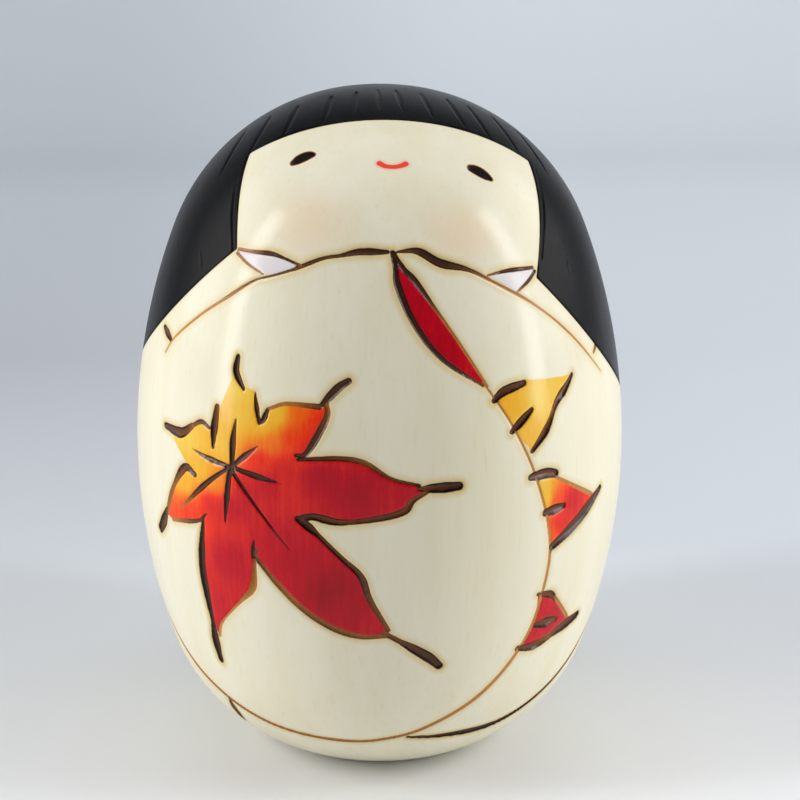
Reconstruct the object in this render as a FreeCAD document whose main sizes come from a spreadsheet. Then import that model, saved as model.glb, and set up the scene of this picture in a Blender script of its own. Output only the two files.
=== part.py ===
"""Kokeshi doll: one turned wooden egg, its black hair cap, and the plug in its base.

Millimetres. +Z is up and the doll's face looks along -Y. The origin is the
middle of the flat base, on the surface that the doll stands on.
"""
import FreeCAD, Part
import Sketcher
import os

FULL_TURN = 360.0
CUT_REACH = 60.0
LEAST_CUT = 1.0

# Driving dimensions, all in millimetres or degrees.
DIMENSIONS = [
    ("height", 95.0, "base to crown"),
    ("belly_radius", 35.2, "widest radius"),
    ("belly_height", 43.0, "height of the widest ring"),
    ("crown_radius", 38.0, "arc over the very top"),
    ("dome_radius", 30.0, "arc of the upper shoulder"),
    ("side_radius", 90.0, "long arc down the side"),
    ("heel_radius", 26.0, "arc that turns under to the base"),
    ("base_radius", 17.0, "flat that the doll stands on"),
    ("hair_thickness", 1.2, "depth of the hair cap, flush with the wood"),
    ("carving_roll", 4.0, "the carved pattern sits this far out of level"),
    ("hem_turn", -4.0, "the hair's hem is turned this far about the axis"),
    ("carving_height", 75.0, "height about which the pattern is rolled"),
    ("face_half_width", 19.9, "middle of the face to its widest side edge"),
    ("face_side_radius", 27.0, "plan radius of the face's side edges"),
    ("face_widest", 18.0, "axis to where the face is widest, forward"),
    ("fringe_setback", 13.0, "axis to the front of the fringe"),
    ("fringe_radius", 65.0, "plan radius of the fringe line"),
    ("hem_arc_radius", 40.0, "side-view arc of the hem"),
    ("hem_arc_back", 15.0, "axis to the middle of the hem arc"),
    ("hem_arc_height", 91.0, "height of the middle of the hem arc"),
    ("hole_radius", 5.0, "lathe screw hole in the base"),
    ("hole_depth", 20.0, "depth of that hole"),
    ("plug_recess", 0.5, "plug face above the base"),
    ("plug_length", 14.0, "length of the plug"),
    ("plug_chamfer", 0.6, "chamfer on the plug's two rims"),
]


def make_sheet(doc):
    """Write the driving dimensions to a spreadsheet and return it."""
    sheet = doc.addObject("Spreadsheet::Sheet", "Dimensions")
    for row, (alias, value, note) in enumerate(DIMENSIONS, start=1):
        sheet.set("A%d" % row, note)
        sheet.set("B%d" % row, str(value))
        sheet.setAlias("B%d" % row, alias)
    doc.recompute()
    return sheet


def cell(name):
    """Return the expression that reads one dimension."""
    return "Dimensions." + name


def origin_plane(body, role):
    """Return one of a body's own origin planes."""
    for feature in body.Origin.OriginFeatures:
        if feature.Role == role:
            return feature
    raise ValueError("no origin plane " + role)


def add_body(doc, label):
    """Add an empty body with its label."""
    body = doc.addObject("PartDesign::Body", label)
    body.Label = label
    return body


def add_sketch(body, name, role):
    """Add a sketch that lies on one of the body's origin planes."""
    sketch = body.newObject("Sketcher::SketchObject", name)
    sketch.AttachmentSupport = [(origin_plane(body, role), "")]
    sketch.MapMode = "FlatFace"
    return sketch


def constrain(sketch, kind, *places, expression=None):
    """Add one constraint and, when given, bind its value to an expression."""
    index = sketch.addConstraint(Sketcher.Constraint(kind, *places))
    if expression is not None:
        sketch.setExpression("Constraints[%d]" % index, expression)
    return index


START, END, CENTRE = 1, 2, 3
ORIGIN = (-1, 1)
AXIS_UP = -2


def meetings(first, first_reach, second, second_reach):
    """Return the two points that lie at both distances from two centres."""
    across = second - first
    gap = across.Length
    along = (first_reach ** 2 - second_reach ** 2 + gap ** 2) / (2 * gap)
    aside = max(first_reach ** 2 - along ** 2, 0.0) ** 0.5
    unit = across / gap
    foot = first + unit * along
    step = FreeCAD.Vector(-unit.y, unit.x, 0) * aside
    return foot + step, foot - step


def upper_meeting(first, first_reach, second, second_reach):
    """Return the meeting point with the greater height."""
    return max(meetings(first, first_reach, second, second_reach), key=lambda point: point.y)


def right_meeting(first, first_reach, second, second_reach):
    """Return the meeting point furthest to the right."""
    return max(meetings(first, first_reach, second, second_reach), key=lambda point: point.x)


def flipped(point):
    """Return the point's mirror image across the upright axis."""
    return FreeCAD.Vector(-point.x, point.y, point.z)


class EggOutline:
    """Centres and joints of the egg's four tangent arcs, moved in by an inset."""

    def __init__(self, sheet, inset=0.0):
        self.top = sheet.height - inset
        self.radii = [
            sheet.crown_radius - inset,
            sheet.dome_radius - inset,
            sheet.side_radius - inset,
            sheet.heel_radius - inset,
        ]
        crown, dome, side, heel = self.radii
        crown_centre = FreeCAD.Vector(0, self.top - crown, 0)
        side_centre = FreeCAD.Vector(sheet.belly_radius - sheet.side_radius, sheet.belly_height, 0)
        base_corner = FreeCAD.Vector(sheet.base_radius, 0, 0)
        dome_centre = upper_meeting(crown_centre, crown - dome, side_centre, side - dome)
        heel_centre = upper_meeting(side_centre, side - heel, base_corner, heel)
        self.centres = [crown_centre, dome_centre, side_centre, heel_centre]
        self.joints = [
            FreeCAD.Vector(0, self.top, 0),
            self.along(crown_centre, dome_centre, crown),
            self.along(side_centre, dome_centre, side),
            self.along(side_centre, heel_centre, side),
            base_corner,
        ]
        self.belly = FreeCAD.Vector(sheet.belly_radius - inset, sheet.belly_height, 0)

    @staticmethod
    def along(centre, toward, radius):
        """Return the point at a radius from a centre, on the line through another."""
        unit = (toward - centre).normalize()
        return centre + unit * radius


def arc_between(centre, radius, first, second):
    """Return the counter-clockwise arc from one point to the other."""
    circle = Part.Circle(centre, FreeCAD.Vector(0, 0, 1), radius)
    return Part.ArcOfCircle(circle, circle.parameter(first), circle.parameter(second))


def draw_egg(sketch, sheet):
    """Draw the half outline of the egg: axis, base and four tangent arcs."""
    outline = EggOutline(sheet)
    joints = outline.joints
    axis = sketch.addGeometry(Part.LineSegment(FreeCAD.Vector(0, 0, 0), joints[0]))
    base = sketch.addGeometry(Part.LineSegment(FreeCAD.Vector(0, 0, 0), joints[4]))
    arcs = []
    for index in range(4):
        arc = arc_between(outline.centres[index], outline.radii[index], joints[index + 1], joints[index])
        arcs.append(sketch.addGeometry(arc))
    crown, dome, side, heel = arcs
    constrain(sketch, "Coincident", axis, START, *ORIGIN)
    constrain(sketch, "Coincident", base, START, *ORIGIN)
    constrain(sketch, "PointOnObject", axis, END, AXIS_UP)
    constrain(sketch, "Horizontal", base)
    constrain(sketch, "Coincident", axis, END, crown, END)
    constrain(sketch, "PointOnObject", crown, CENTRE, AXIS_UP)
    constrain(sketch, "Tangent", crown, START, dome, END)
    constrain(sketch, "Tangent", dome, START, side, END)
    constrain(sketch, "Tangent", side, START, heel, END)
    constrain(sketch, "Coincident", heel, START, base, END)
    constrain(sketch, "DistanceY", *ORIGIN, axis, END, sheet.height, expression=cell("height"))
    constrain(sketch, "DistanceX", *ORIGIN, base, END, sheet.base_radius, expression=cell("base_radius"))
    constrain(sketch, "DistanceY", *ORIGIN, side, CENTRE, sheet.belly_height, expression=cell("belly_height"))
    constrain(sketch, "DistanceX", side, CENTRE, *ORIGIN, sheet.side_radius - sheet.belly_radius,
              expression=cell("side_radius") + " - " + cell("belly_radius"))
    for arc, name in zip(arcs, ("crown_radius", "dome_radius", "side_radius", "heel_radius")):
        constrain(sketch, "Radius", arc, getattr(sheet, name), expression=cell(name))


def add_upper_arcs(sketch, outline):
    """Add an outline's three arcs from the crown down to the belly."""
    joints = outline.joints[:3] + [outline.belly]
    arcs = []
    for index in range(3):
        arc = arc_between(outline.centres[index], outline.radii[index], joints[index + 1], joints[index])
        arcs.append(sketch.addGeometry(arc))
    return arcs


def draw_hair_section(sketch, sheet):
    """Draw the section of the hair's shell, from the crown down to the belly."""
    inset = sheet.hair_thickness
    skin, lining = EggOutline(sheet), EggOutline(sheet, inset)
    outer = add_upper_arcs(sketch, skin)
    inner = add_upper_arcs(sketch, lining)
    top = sketch.addGeometry(Part.LineSegment(lining.joints[0], skin.joints[0]))
    foot = sketch.addGeometry(Part.LineSegment(lining.belly, skin.belly))
    for chain, end in ((inner, START), (outer, END)):
        crown, dome, side = chain
        constrain(sketch, "Tangent", crown, START, dome, END)
        constrain(sketch, "Tangent", dome, START, side, END)
        constrain(sketch, "Coincident", crown, END, top, end)
        constrain(sketch, "Coincident", side, START, foot, end)
    for outer_arc, inner_arc in zip(outer, inner):
        constrain(sketch, "Coincident", outer_arc, CENTRE, inner_arc, CENTRE)
    constrain(sketch, "PointOnObject", outer[0], CENTRE, AXIS_UP)
    constrain(sketch, "PointOnObject", top, END, AXIS_UP)
    constrain(sketch, "PointOnObject", top, START, AXIS_UP)
    constrain(sketch, "Horizontal", foot)
    constrain(sketch, "DistanceY", *ORIGIN, top, END, sheet.height, expression=cell("height"))
    constrain(sketch, "DistanceY", *ORIGIN, foot, END, sheet.belly_height, expression=cell("belly_height"))
    constrain(sketch, "DistanceY", *ORIGIN, outer[2], CENTRE, sheet.belly_height,
              expression=cell("belly_height"))
    constrain(sketch, "DistanceX", outer[2], CENTRE, *ORIGIN, sheet.side_radius - sheet.belly_radius,
              expression=cell("side_radius") + " - " + cell("belly_radius"))
    for arc, name in zip(outer, ("crown_radius", "dome_radius", "side_radius")):
        constrain(sketch, "Radius", arc, getattr(sheet, name), expression=cell(name))
    constrain(sketch, "Distance", top, START, top, END, inset, expression=cell("hair_thickness"))


def revolve(body, sketch, name):
    """Revolve a half outline about the vertical axis of its sketch."""
    feature = body.newObject("PartDesign::Revolution", name)
    feature.Profile = sketch
    feature.ReferenceAxis = (sketch, ["V_Axis"])
    feature.Angle = FULL_TURN
    return feature


def cut_pocket(doc, body, sketch, name):
    """Cut a sketch right through a body, both ways, and prove that it cut."""
    before = body.Shape.Volume
    pocket = body.newObject("PartDesign::Pocket", name)
    pocket.Profile = sketch
    pocket.SideType = "Symmetric"
    pocket.Length = 4 * CUT_REACH
    doc.recompute()
    if before - body.Shape.Volume < LEAST_CUT:
        raise RuntimeError(name + " removed nothing")
    return pocket


def lean_sketch(sketch, across, pivot, turn="rotation(vector(0; 0; 1); 0)"):
    """Lean a sketch's plane out of level with the carved pattern.

    across is the doll's front-to-back direction and pivot the point on its axis
    at the carving height, both in the sketch's own directions. turn is a further
    rotation about the axis, applied after the lean.
    """
    lean = "rotation(vector(%s); %s)" % (across, cell("carving_roll"))
    placement = "placement(vector(0; 0; 0); %s * %s; vector(%s))" % (turn, lean, pivot)
    sketch.setExpression("AttachmentOffset", placement)


def make_egg(doc, sheet):
    """Make the turned egg with its flat base and the lathe screw's hole."""
    body = add_body(doc, "turned_egg")
    outline = add_sketch(body, "EggOutlineSketch", "XZ_Plane")
    draw_egg(outline, sheet)
    revolve(body, outline, "EggRevolution")
    doc.recompute()
    before = body.Shape.Volume
    circle_sketch = add_sketch(body, "HoleSketch", "XY_Plane")
    circle = circle_sketch.addGeometry(Part.Circle(FreeCAD.Vector(0, 0, 0), FreeCAD.Vector(0, 0, 1),
                                                   sheet.hole_radius))
    constrain(circle_sketch, "Coincident", circle, CENTRE, *ORIGIN)
    constrain(circle_sketch, "Radius", circle, sheet.hole_radius, expression=cell("hole_radius"))
    hole = body.newObject("PartDesign::Pocket", "ScrewHole")
    hole.Profile = circle_sketch
    hole.Reversed = True
    hole.setExpression("Length", cell("hole_depth"))
    doc.recompute()
    if before - body.Shape.Volume < LEAST_CUT:
        raise RuntimeError("the screw hole removed nothing")
    return body


def draw_below_hem(sketch, sheet):
    """Draw all that lies below the hem in side view: an arc, a level line and a frame.

    The hem leaves the bottom of the face steeply, sweeps back in one arc and runs
    level around the back of the head.
    """
    reach = CUT_REACH
    middle = FreeCAD.Vector(sheet.hem_arc_back, sheet.hem_arc_height, 0)
    front = middle + FreeCAD.Vector(-sheet.hem_arc_radius, 0, 0)
    low = middle + FreeCAD.Vector(0, -sheet.hem_arc_radius, 0)
    corners = [
        low,
        FreeCAD.Vector(reach, low.y, 0),
        FreeCAD.Vector(reach, -reach, 0),
        FreeCAD.Vector(-reach, -reach, 0),
        FreeCAD.Vector(-reach, middle.y, 0),
        front,
    ]
    lines = []
    for first, second in zip(corners, corners[1:]):
        lines.append(sketch.addGeometry(Part.LineSegment(first, second)))
    back, rear, floor, fore, brow = lines
    hem = sketch.addGeometry(arc_between(middle, sheet.hem_arc_radius, front, low))
    for first, second in zip(lines, lines[1:]):
        constrain(sketch, "Coincident", first, END, second, START)
    constrain(sketch, "Coincident", brow, END, hem, START)
    constrain(sketch, "Tangent", hem, END, back, START)
    for level in (back, floor, brow):
        constrain(sketch, "Horizontal", level)
    for upright in (rear, fore):
        constrain(sketch, "Vertical", upright)
    constrain(sketch, "Horizontal", hem, START, hem, CENTRE)
    constrain(sketch, "Radius", hem, sheet.hem_arc_radius, expression=cell("hem_arc_radius"))
    constrain(sketch, "DistanceX", *ORIGIN, hem, CENTRE, sheet.hem_arc_back, expression=cell("hem_arc_back"))
    constrain(sketch, "DistanceY", *ORIGIN, hem, CENTRE, sheet.hem_arc_height,
              expression=cell("hem_arc_height"))
    constrain(sketch, "DistanceX", *ORIGIN, floor, START, reach)
    constrain(sketch, "DistanceY", floor, START, *ORIGIN, reach)
    constrain(sketch, "DistanceX", floor, END, *ORIGIN, reach)


def draw_face_window(sketch, sheet):
    """Draw the face window in plan: the fringe's arc, two bowed sides and a front line."""
    reach = 0.6 * CUT_REACH
    fringe_middle = FreeCAD.Vector(0, sheet.fringe_radius - sheet.fringe_setback, 0)
    side_middle = FreeCAD.Vector(sheet.face_half_width - sheet.face_side_radius, -sheet.face_widest, 0)
    corner = right_meeting(fringe_middle, sheet.fringe_radius, side_middle, sheet.face_side_radius)
    front_x = side_middle.x + (sheet.face_side_radius ** 2 - (reach + side_middle.y) ** 2) ** 0.5
    front = FreeCAD.Vector(front_x, -reach, 0)
    fringe = sketch.addGeometry(arc_between(fringe_middle, sheet.fringe_radius, flipped(corner), corner))
    right = sketch.addGeometry(arc_between(side_middle, sheet.face_side_radius, front, corner))
    left = sketch.addGeometry(
        arc_between(flipped(side_middle), sheet.face_side_radius, flipped(corner), flipped(front)))
    line = sketch.addGeometry(Part.LineSegment(flipped(front), front))
    constrain(sketch, "Coincident", fringe, END, right, END)
    constrain(sketch, "Coincident", right, START, line, END)
    constrain(sketch, "Coincident", line, START, left, END)
    constrain(sketch, "Coincident", left, START, fringe, START)
    constrain(sketch, "Horizontal", line)
    constrain(sketch, "DistanceY", line, START, *ORIGIN, reach)
    constrain(sketch, "PointOnObject", fringe, CENTRE, AXIS_UP)
    constrain(sketch, "Radius", fringe, sheet.fringe_radius, expression=cell("fringe_radius"))
    constrain(sketch, "DistanceY", *ORIGIN, fringe, CENTRE, fringe_middle.y,
              expression=cell("fringe_radius") + " - " + cell("fringe_setback"))
    bow = cell("face_side_radius") + " - " + cell("face_half_width")
    constrain(sketch, "DistanceX", right, CENTRE, *ORIGIN, -side_middle.x, expression=bow)
    constrain(sketch, "DistanceX", *ORIGIN, left, CENTRE, -side_middle.x, expression=bow)
    for side in (left, right):
        constrain(sketch, "Radius", side, sheet.face_side_radius, expression=cell("face_side_radius"))
        constrain(sketch, "DistanceY", side, CENTRE, *ORIGIN, sheet.face_widest,
                  expression=cell("face_widest"))


def make_hair(doc, sheet):
    """Make the hair cap: a thin shell, cut away below the hem and over the face."""
    body = add_body(doc, "hair_cap")
    section = add_sketch(body, "HairSectionSketch", "XZ_Plane")
    draw_hair_section(section, sheet)
    revolve(body, section, "HairRevolution")
    doc.recompute()
    below = add_sketch(body, "BelowHemSketch", "YZ_Plane")
    draw_below_hem(below, sheet)
    turn = "rotation(vector(0; 1; 0); %s)" % cell("hem_turn")
    lean_sketch(below, "1; 0; 0", "0; %s; 0" % cell("carving_height"), turn)
    cut_pocket(doc, body, below, "HemCut")
    window = add_sketch(body, "FaceWindowSketch", "XY_Plane")
    draw_face_window(window, sheet)
    lean_sketch(window, "0; 1; 0", "0; 0; %s" % cell("carving_height"))
    cut_pocket(doc, body, window, "FaceCut")
    return body


def make_block(doc, egg, hair):
    """Make the wooden block: the turned egg less the room for the hair cap."""
    block = doc.addObject("Part::Cut", "body_block")
    block.Base = egg
    block.Tool = hair
    block.Label = "body_block"
    return block


def make_plug(doc, sheet):
    """Make the chamfered plug that fills the lathe screw's hole."""
    body = add_body(doc, "base_plug")
    sketch = add_sketch(body, "PlugSketch", "XY_Plane")
    circle = sketch.addGeometry(Part.Circle(FreeCAD.Vector(0, 0, 0), FreeCAD.Vector(0, 0, 1),
                                            sheet.hole_radius))
    constrain(sketch, "Coincident", circle, CENTRE, *ORIGIN)
    constrain(sketch, "Radius", circle, sheet.hole_radius, expression=cell("hole_radius"))
    sketch.setExpression("AttachmentOffset.Base.z", cell("plug_recess"))
    pad = body.newObject("PartDesign::Pad", "PlugPad")
    pad.Profile = sketch
    pad.setExpression("Length", cell("plug_length"))
    doc.recompute()
    chamfer = body.newObject("PartDesign::Chamfer", "PlugRims")
    chamfer.Base = (pad, rim_edges(pad.Shape))
    chamfer.setExpression("Size", cell("plug_chamfer"))
    doc.recompute()
    return body


def rim_edges(shape):
    """Return the names of a cylinder's two circular edges."""
    names = []
    for index, edge in enumerate(shape.Edges, start=1):
        if isinstance(edge.Curve, Part.Circle):
            names.append("Edge%d" % index)
    return names


def check_document(doc):
    """Raise if any object failed to recompute."""
    for item in doc.Objects:
        if "Invalid" in item.State or "Error" in item.State:
            raise RuntimeError(item.Name + " failed: " + ", ".join(item.State))


def check_part(part):
    """Raise unless a sub-part is one valid solid, then print its size."""
    shape = part.Shape
    if shape.isNull() or not shape.isValid() or len(shape.Solids) != 1:
        raise RuntimeError(part.Label + " is not one valid solid")
    box = shape.BoundBox
    print("%-11s %8.0f mm3  x %.2f %.2f  y %.2f %.2f  z %.2f %.2f" % (
        part.Label, shape.Volume, box.XMin, box.XMax, box.YMin, box.YMax, box.ZMin, box.ZMax))


def main():
    """Build the doll and write one STEP file for each sub-part."""
    doc = FreeCAD.newDocument("KokeshiDoll")
    sheet = make_sheet(doc)
    egg = make_egg(doc, sheet)
    hair = make_hair(doc, sheet)
    parts = [make_block(doc, egg, hair), hair, make_plug(doc, sheet)]
    doc.recompute()
    check_document(doc)
    for part in parts:
        check_part(part)
    os.makedirs("parts", exist_ok=True)
    for part in parts:
        part.Shape.exportStep("parts/%s.step" % part.Label)


main()
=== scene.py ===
import logging
import math
from dataclasses import dataclass, field
from enum import Enum
from typing import Dict, List, Sequence, Tuple, Union

import bpy
import numpy as np
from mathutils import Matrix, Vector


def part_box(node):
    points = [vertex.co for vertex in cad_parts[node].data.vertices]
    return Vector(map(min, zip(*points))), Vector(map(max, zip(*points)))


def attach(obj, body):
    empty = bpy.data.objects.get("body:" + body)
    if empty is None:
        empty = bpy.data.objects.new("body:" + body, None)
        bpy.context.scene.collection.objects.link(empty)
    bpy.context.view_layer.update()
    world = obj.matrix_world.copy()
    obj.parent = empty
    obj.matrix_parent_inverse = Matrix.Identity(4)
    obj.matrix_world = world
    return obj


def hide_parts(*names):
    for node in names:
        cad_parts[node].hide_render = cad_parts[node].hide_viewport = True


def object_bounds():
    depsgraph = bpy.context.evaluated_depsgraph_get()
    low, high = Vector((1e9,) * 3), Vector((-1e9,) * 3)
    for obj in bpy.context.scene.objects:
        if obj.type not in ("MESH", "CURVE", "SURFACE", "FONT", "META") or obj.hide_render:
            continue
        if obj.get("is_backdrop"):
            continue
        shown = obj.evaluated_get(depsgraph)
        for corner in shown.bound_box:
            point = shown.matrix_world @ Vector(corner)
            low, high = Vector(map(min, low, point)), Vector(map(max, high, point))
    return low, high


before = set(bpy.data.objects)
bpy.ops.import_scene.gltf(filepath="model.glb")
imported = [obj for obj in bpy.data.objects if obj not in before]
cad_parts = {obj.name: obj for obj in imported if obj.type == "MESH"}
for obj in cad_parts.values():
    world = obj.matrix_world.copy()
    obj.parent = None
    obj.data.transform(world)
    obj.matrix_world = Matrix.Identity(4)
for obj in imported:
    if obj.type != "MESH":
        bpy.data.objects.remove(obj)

# Dresses a turned kokeshi doll: the engraved and painted body, its black bob of hair, the plug in its base.
# Lengths are in millimetres up to the moment a mesh is written, where MM turns them into metres. A place on
# the doll's skin is a turn about the upright axis, in degrees from the middle of the front, and a height.

MM = 0.001
LOG = logging.getLogger("kokeshi")
Array = np.ndarray
Point = Tuple[float, float]
Place = Tuple[float, float, float]
Colour = Tuple[float, float, float, float]
Ramp = Tuple[Tuple[float, Colour], ...]


def tint(red: float, green: float, blue: float) -> Colour:
    """A paint colour given as it looks, 0 to 255, as the linear colour that a shader takes.

    Args:
        red, green, blue: the three amounts.

    Returns:
        The linear colour, opaque: each amount c of 1 becomes ((c + 0.055) / 1.055) ** 2.4.
    """
    mixed = [((c / 255.0 + 0.055) / 1.055) ** 2.4 for c in (red, green, blue)]
    return (mixed[0], mixed[1], mixed[2], 1.0)


def ease(value: Array, low: float, high: float) -> Array:
    """Rises from 0 at low to 1 at high as t * t * (3 - 2 t)."""
    t = np.clip((value - low) / (high - low), 0.0, 1.0)
    return t * t * (3.0 - 2.0 * t)


def turned(points: Array, degrees: float, axis: int) -> Array:
    """Points turned about a coordinate axis.

    Args:
        points: (n, 3) places.
        degrees: the turn, right-handed.
        axis: 0, 1 or 2.

    Returns:
        (n, 3) turned places: the two other coordinates (a, b) become (a cos - b sin, a sin + b cos).
    """
    first, second = (axis + 1) % 3, (axis + 2) % 3
    c, s = math.cos(math.radians(degrees)), math.sin(math.radians(degrees))
    out = points.copy()
    out[:, first] = points[:, first] * c - points[:, second] * s
    out[:, second] = points[:, first] * s + points[:, second] * c
    return out


def meeting(first: Point, first_reach: float, second: Point, second_reach: float) -> Point:
    """The higher of the two places at given distances from two points.

    Args:
        first, second: the two points.
        first_reach, second_reach: the distances from them.

    Returns:
        The upper crossing of the two circles.
    """
    dx, dz = second[0] - first[0], second[1] - first[1]
    gap = math.hypot(dx, dz)
    along = (gap * gap + first_reach**2 - second_reach**2) / (2.0 * gap)
    aside = math.sqrt(first_reach**2 - along * along)
    foot = (first[0] + along * dx / gap, first[1] + along * dz / gap)
    both = [(foot[0] + k * aside * dz / gap, foot[1] - k * aside * dx / gap) for k in (-1, 1)]
    return max(both, key=lambda place: place[1])


@dataclass
class Egg:
    """The lathe-turned outline, from the blind end of the spindle hole round the base to the crown."""

    height: float
    belly_radius: float
    belly_height: float = 43.0
    crown_radius: float = 38.0
    dome_radius: float = 30.0
    side_radius: float = 90.0
    heel_radius: float = 26.0
    base_radius: float = 17.0
    hole_radius: float = 5.0
    hole_depth: float = 20.0
    rows: Tuple[int, ...] = (0, 256, 512, 1024, 5120)
    columns: int = 8192
    arc_samples: int = 900

    def __post_init__(self) -> None:
        """Samples the outline once: radius, height and outward slope against length along it."""
        crown = (0.0, self.height - self.crown_radius)
        side = (self.belly_radius - self.side_radius, self.belly_height)
        dome = meeting(crown, self.crown_radius - self.dome_radius, side, self.side_radius - self.dome_radius)
        heel = meeting(side, self.side_radius - self.heel_radius, (self.base_radius, 0.0), self.heel_radius)
        toe = math.atan2(-heel[1], self.base_radius - heel[0])
        waist = math.atan2(heel[1] - side[1], heel[0] - side[0])
        shoulder = math.atan2(dome[1] - side[1], dome[0] - side[0])
        brow = math.atan2(dome[1] - crown[1], dome[0] - crown[0])
        arcs = (
            (heel, self.heel_radius, toe, waist),
            (side, self.side_radius, waist, shoulder),
            (dome, self.dome_radius, shoulder, brow),
            (crown, self.crown_radius, brow, math.pi / 2.0),
        )
        slope = np.concatenate([np.linspace(start, end, self.arc_samples) for _, _, start, end in arcs])
        reach = np.repeat([arc[1] for arc in arcs], self.arc_samples)
        centre = np.repeat([arc[0] for arc in arcs], self.arc_samples, axis=0)
        outer = centre + reach[:, None] * np.stack([np.cos(slope), np.sin(slope)], 1)
        wide, deep = self.hole_radius, self.hole_depth
        inner = np.array([(0.0, deep), (wide, deep), (wide, 0.0)])
        self.radius, self.level = np.concatenate([inner, outer]).T
        self.slope = np.concatenate([[-math.pi / 2.0] * 2, [math.pi], slope])
        step = np.hypot(np.diff(self.radius), np.diff(self.level))
        self.length = np.concatenate([[0.0], np.cumsum(step)])
        self.corners = self.length[[0, 1, 2, 3, -1]]
        self.skirt = self.level[3:], self.radius[3:]

    def place(self, row: Array, column: Array) -> Tuple[Array, Array]:
        """Where the lattice's rows and columns lie on the skin.

        Args:
            row: steps along the outline.
            column: steps round it, 0 at the back.

        Returns:
            (n, 3) places (r sin a, -r cos a, z) and outward normals (cos s sin a, -cos s cos a, sin s), where
            a is the turn and s the outline's outward slope.
        """
        along = np.interp(row, self.rows, self.corners)
        radius, level = np.interp(along, self.length, self.radius), np.interp(along, self.length, self.level)
        slope = np.interp(along, self.length, self.slope)
        angle = (column / self.columns - 0.5) * 2.0 * math.pi
        place = np.stack([radius * np.sin(angle), -radius * np.cos(angle), level], 1)
        flat = np.cos(slope)
        return place, np.stack([flat * np.sin(angle), -flat * np.cos(angle), np.sin(slope)], 1)

    def on_skin(self, spots: Array) -> Array:
        """(n, 3) places of (turn in degrees, height) spots on the outside."""
        radius = np.interp(spots[:, 1], *self.skirt)
        angle = np.radians(spots[:, 0])
        return np.stack([radius * np.sin(angle), -radius * np.cos(angle), spots[:, 1]], 1)

    def from_above(self, plan: Array) -> Array:
        """(n, 3) places of (x, y) spots seen from above on the upper half of the skin."""
        upper = self.skirt[0] > self.belly_height
        out = np.hypot(plan[:, 0], plan[:, 1])
        level = np.interp(-out, -self.skirt[1][upper], self.skirt[0][upper])
        return np.column_stack([plan, level])


@dataclass(frozen=True)
class HairLine:
    """Where black hair meets pale wood: a drooping hem round the sides and back, and the face's window."""

    pivot_height: float = 75.0
    roll: float = 4.0
    hem_turn: float = -4.0
    hem_arc_radius: float = 40.0
    hem_arc_back: float = 15.0
    hem_arc_height: float = 91.0
    face_half_width: float = 19.9
    face_side_radius: float = 27.0
    face_widest: float = 18.0
    fringe_setback: float = 13.0
    fringe_radius: float = 65.0

    def _leaned(self, points: Array, turn: float) -> Array:
        """Points in the leaning and turned frame of one of the two carvings."""
        moved = points - (0.0, 0.0, self.pivot_height)
        moved = turned(turned(moved, -turn, 2), -self.roll, 1)
        return moved + (0.0, 0.0, self.pivot_height)

    def side_gap(self, points: Array) -> Array:
        """How far outside the face's side edges points are, from the arc that bounds each side in plan."""
        at = self._leaned(points, 0.0)
        inset = self.face_side_radius - self.face_half_width
        return np.hypot(np.abs(at[:, 0]) + inset, at[:, 1] + self.face_widest) - self.face_side_radius

    def depth_in_hair(self, points: Array) -> Array:
        """How far inside the hair points are, measured in the carvings' own planes; negative on the wood."""
        at = self._leaned(points, self.hem_turn)
        back, up = at[:, 1] - self.hem_arc_back, at[:, 2] - self.hem_arc_height
        arc = self.hem_arc_radius - np.hypot(back, up)
        front = np.where(up > 0.0, back + self.hem_arc_radius, arc)
        hem = np.where(back > 0.0, up + self.hem_arc_radius, front)
        at = self._leaned(points, 0.0)
        centre = self.fringe_radius - self.fringe_setback
        fringe = self.fringe_radius - np.hypot(at[:, 0], at[:, 1] - centre)
        return np.minimum(hem, np.maximum(self.side_gap(points), fringe))

    def gap(self, points: Array, normals: Array, nudge: float = 0.05) -> Array:
        """Signed distance over the skin from the hair's edge, positive in the hair.

        Args:
            points, normals: places on the skin and its outward directions.
            nudge: how far to step along the skin to feel the slope.

        Returns:
            The depth divided by its slope along the skin, found from one step round and one step up.
        """
        around = np.cross((0.0, 0.0, 1.0), normals)
        around /= np.maximum(np.linalg.norm(around, axis=1, keepdims=True), 1e-6)
        upward = np.cross(normals, around)
        here = self.depth_in_hair(points)
        steps = [self.depth_in_hair(points + nudge * way) - here for way in (around, upward)]
        slope = np.hypot(*steps) / nudge
        return here / np.clip(slope, 0.5, 1.5)


class Tool(Enum):
    """What a line is made with."""

    PEN = "hot pen, which cuts and burns"
    EYE = "pen and black paint"
    BRUSH = "brush, which doesn't cut"


@dataclass(frozen=True)
class Stroke:
    """One drawn line on the skin.

    Widths and burns are read at even steps along the line, so each has only as many values as it changes.
    A burn is 0 where the pen barely browned the wood, 1 where it charred it.
    """

    name: str
    path: Tuple[Point, ...]
    width: Tuple[float, ...]
    burn: Tuple[float, ...] = (1.0,)
    tool: Tool = Tool.PEN


@dataclass(frozen=True)
class Wash:
    """A painted area. Its edge follows strokes by name, backwards after a minus, with spots between them."""

    name: str
    edge: Tuple[Union[str, Point], ...]


FACE_STROKES = (
    Stroke(
        "eye_left",
        ((-35.5, 87.5), (-33.5, 88), (-31, 88.4), (-29.3, 88.5)),
        (0.9, 1.5, 1.6, 1.3, 0.7),
        tool=Tool.EYE,
    ),
    Stroke(
        "eye_right",
        ((30.7, 86.8), (32.5, 86.5), (34.3, 86), (36.1, 85.4)),
        (1.1, 1.5, 1.6, 1.3, 0.6),
        tool=Tool.EYE,
    ),
    Stroke(
        "mouth",
        ((-3, 87.9), (-1, 87.6), (2, 87.5), (4.5, 87.6), (6.5, 87.8)),
        (0.8, 0.65, 0.65, 0.8),
        tool=Tool.BRUSH,
    ),
)

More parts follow.
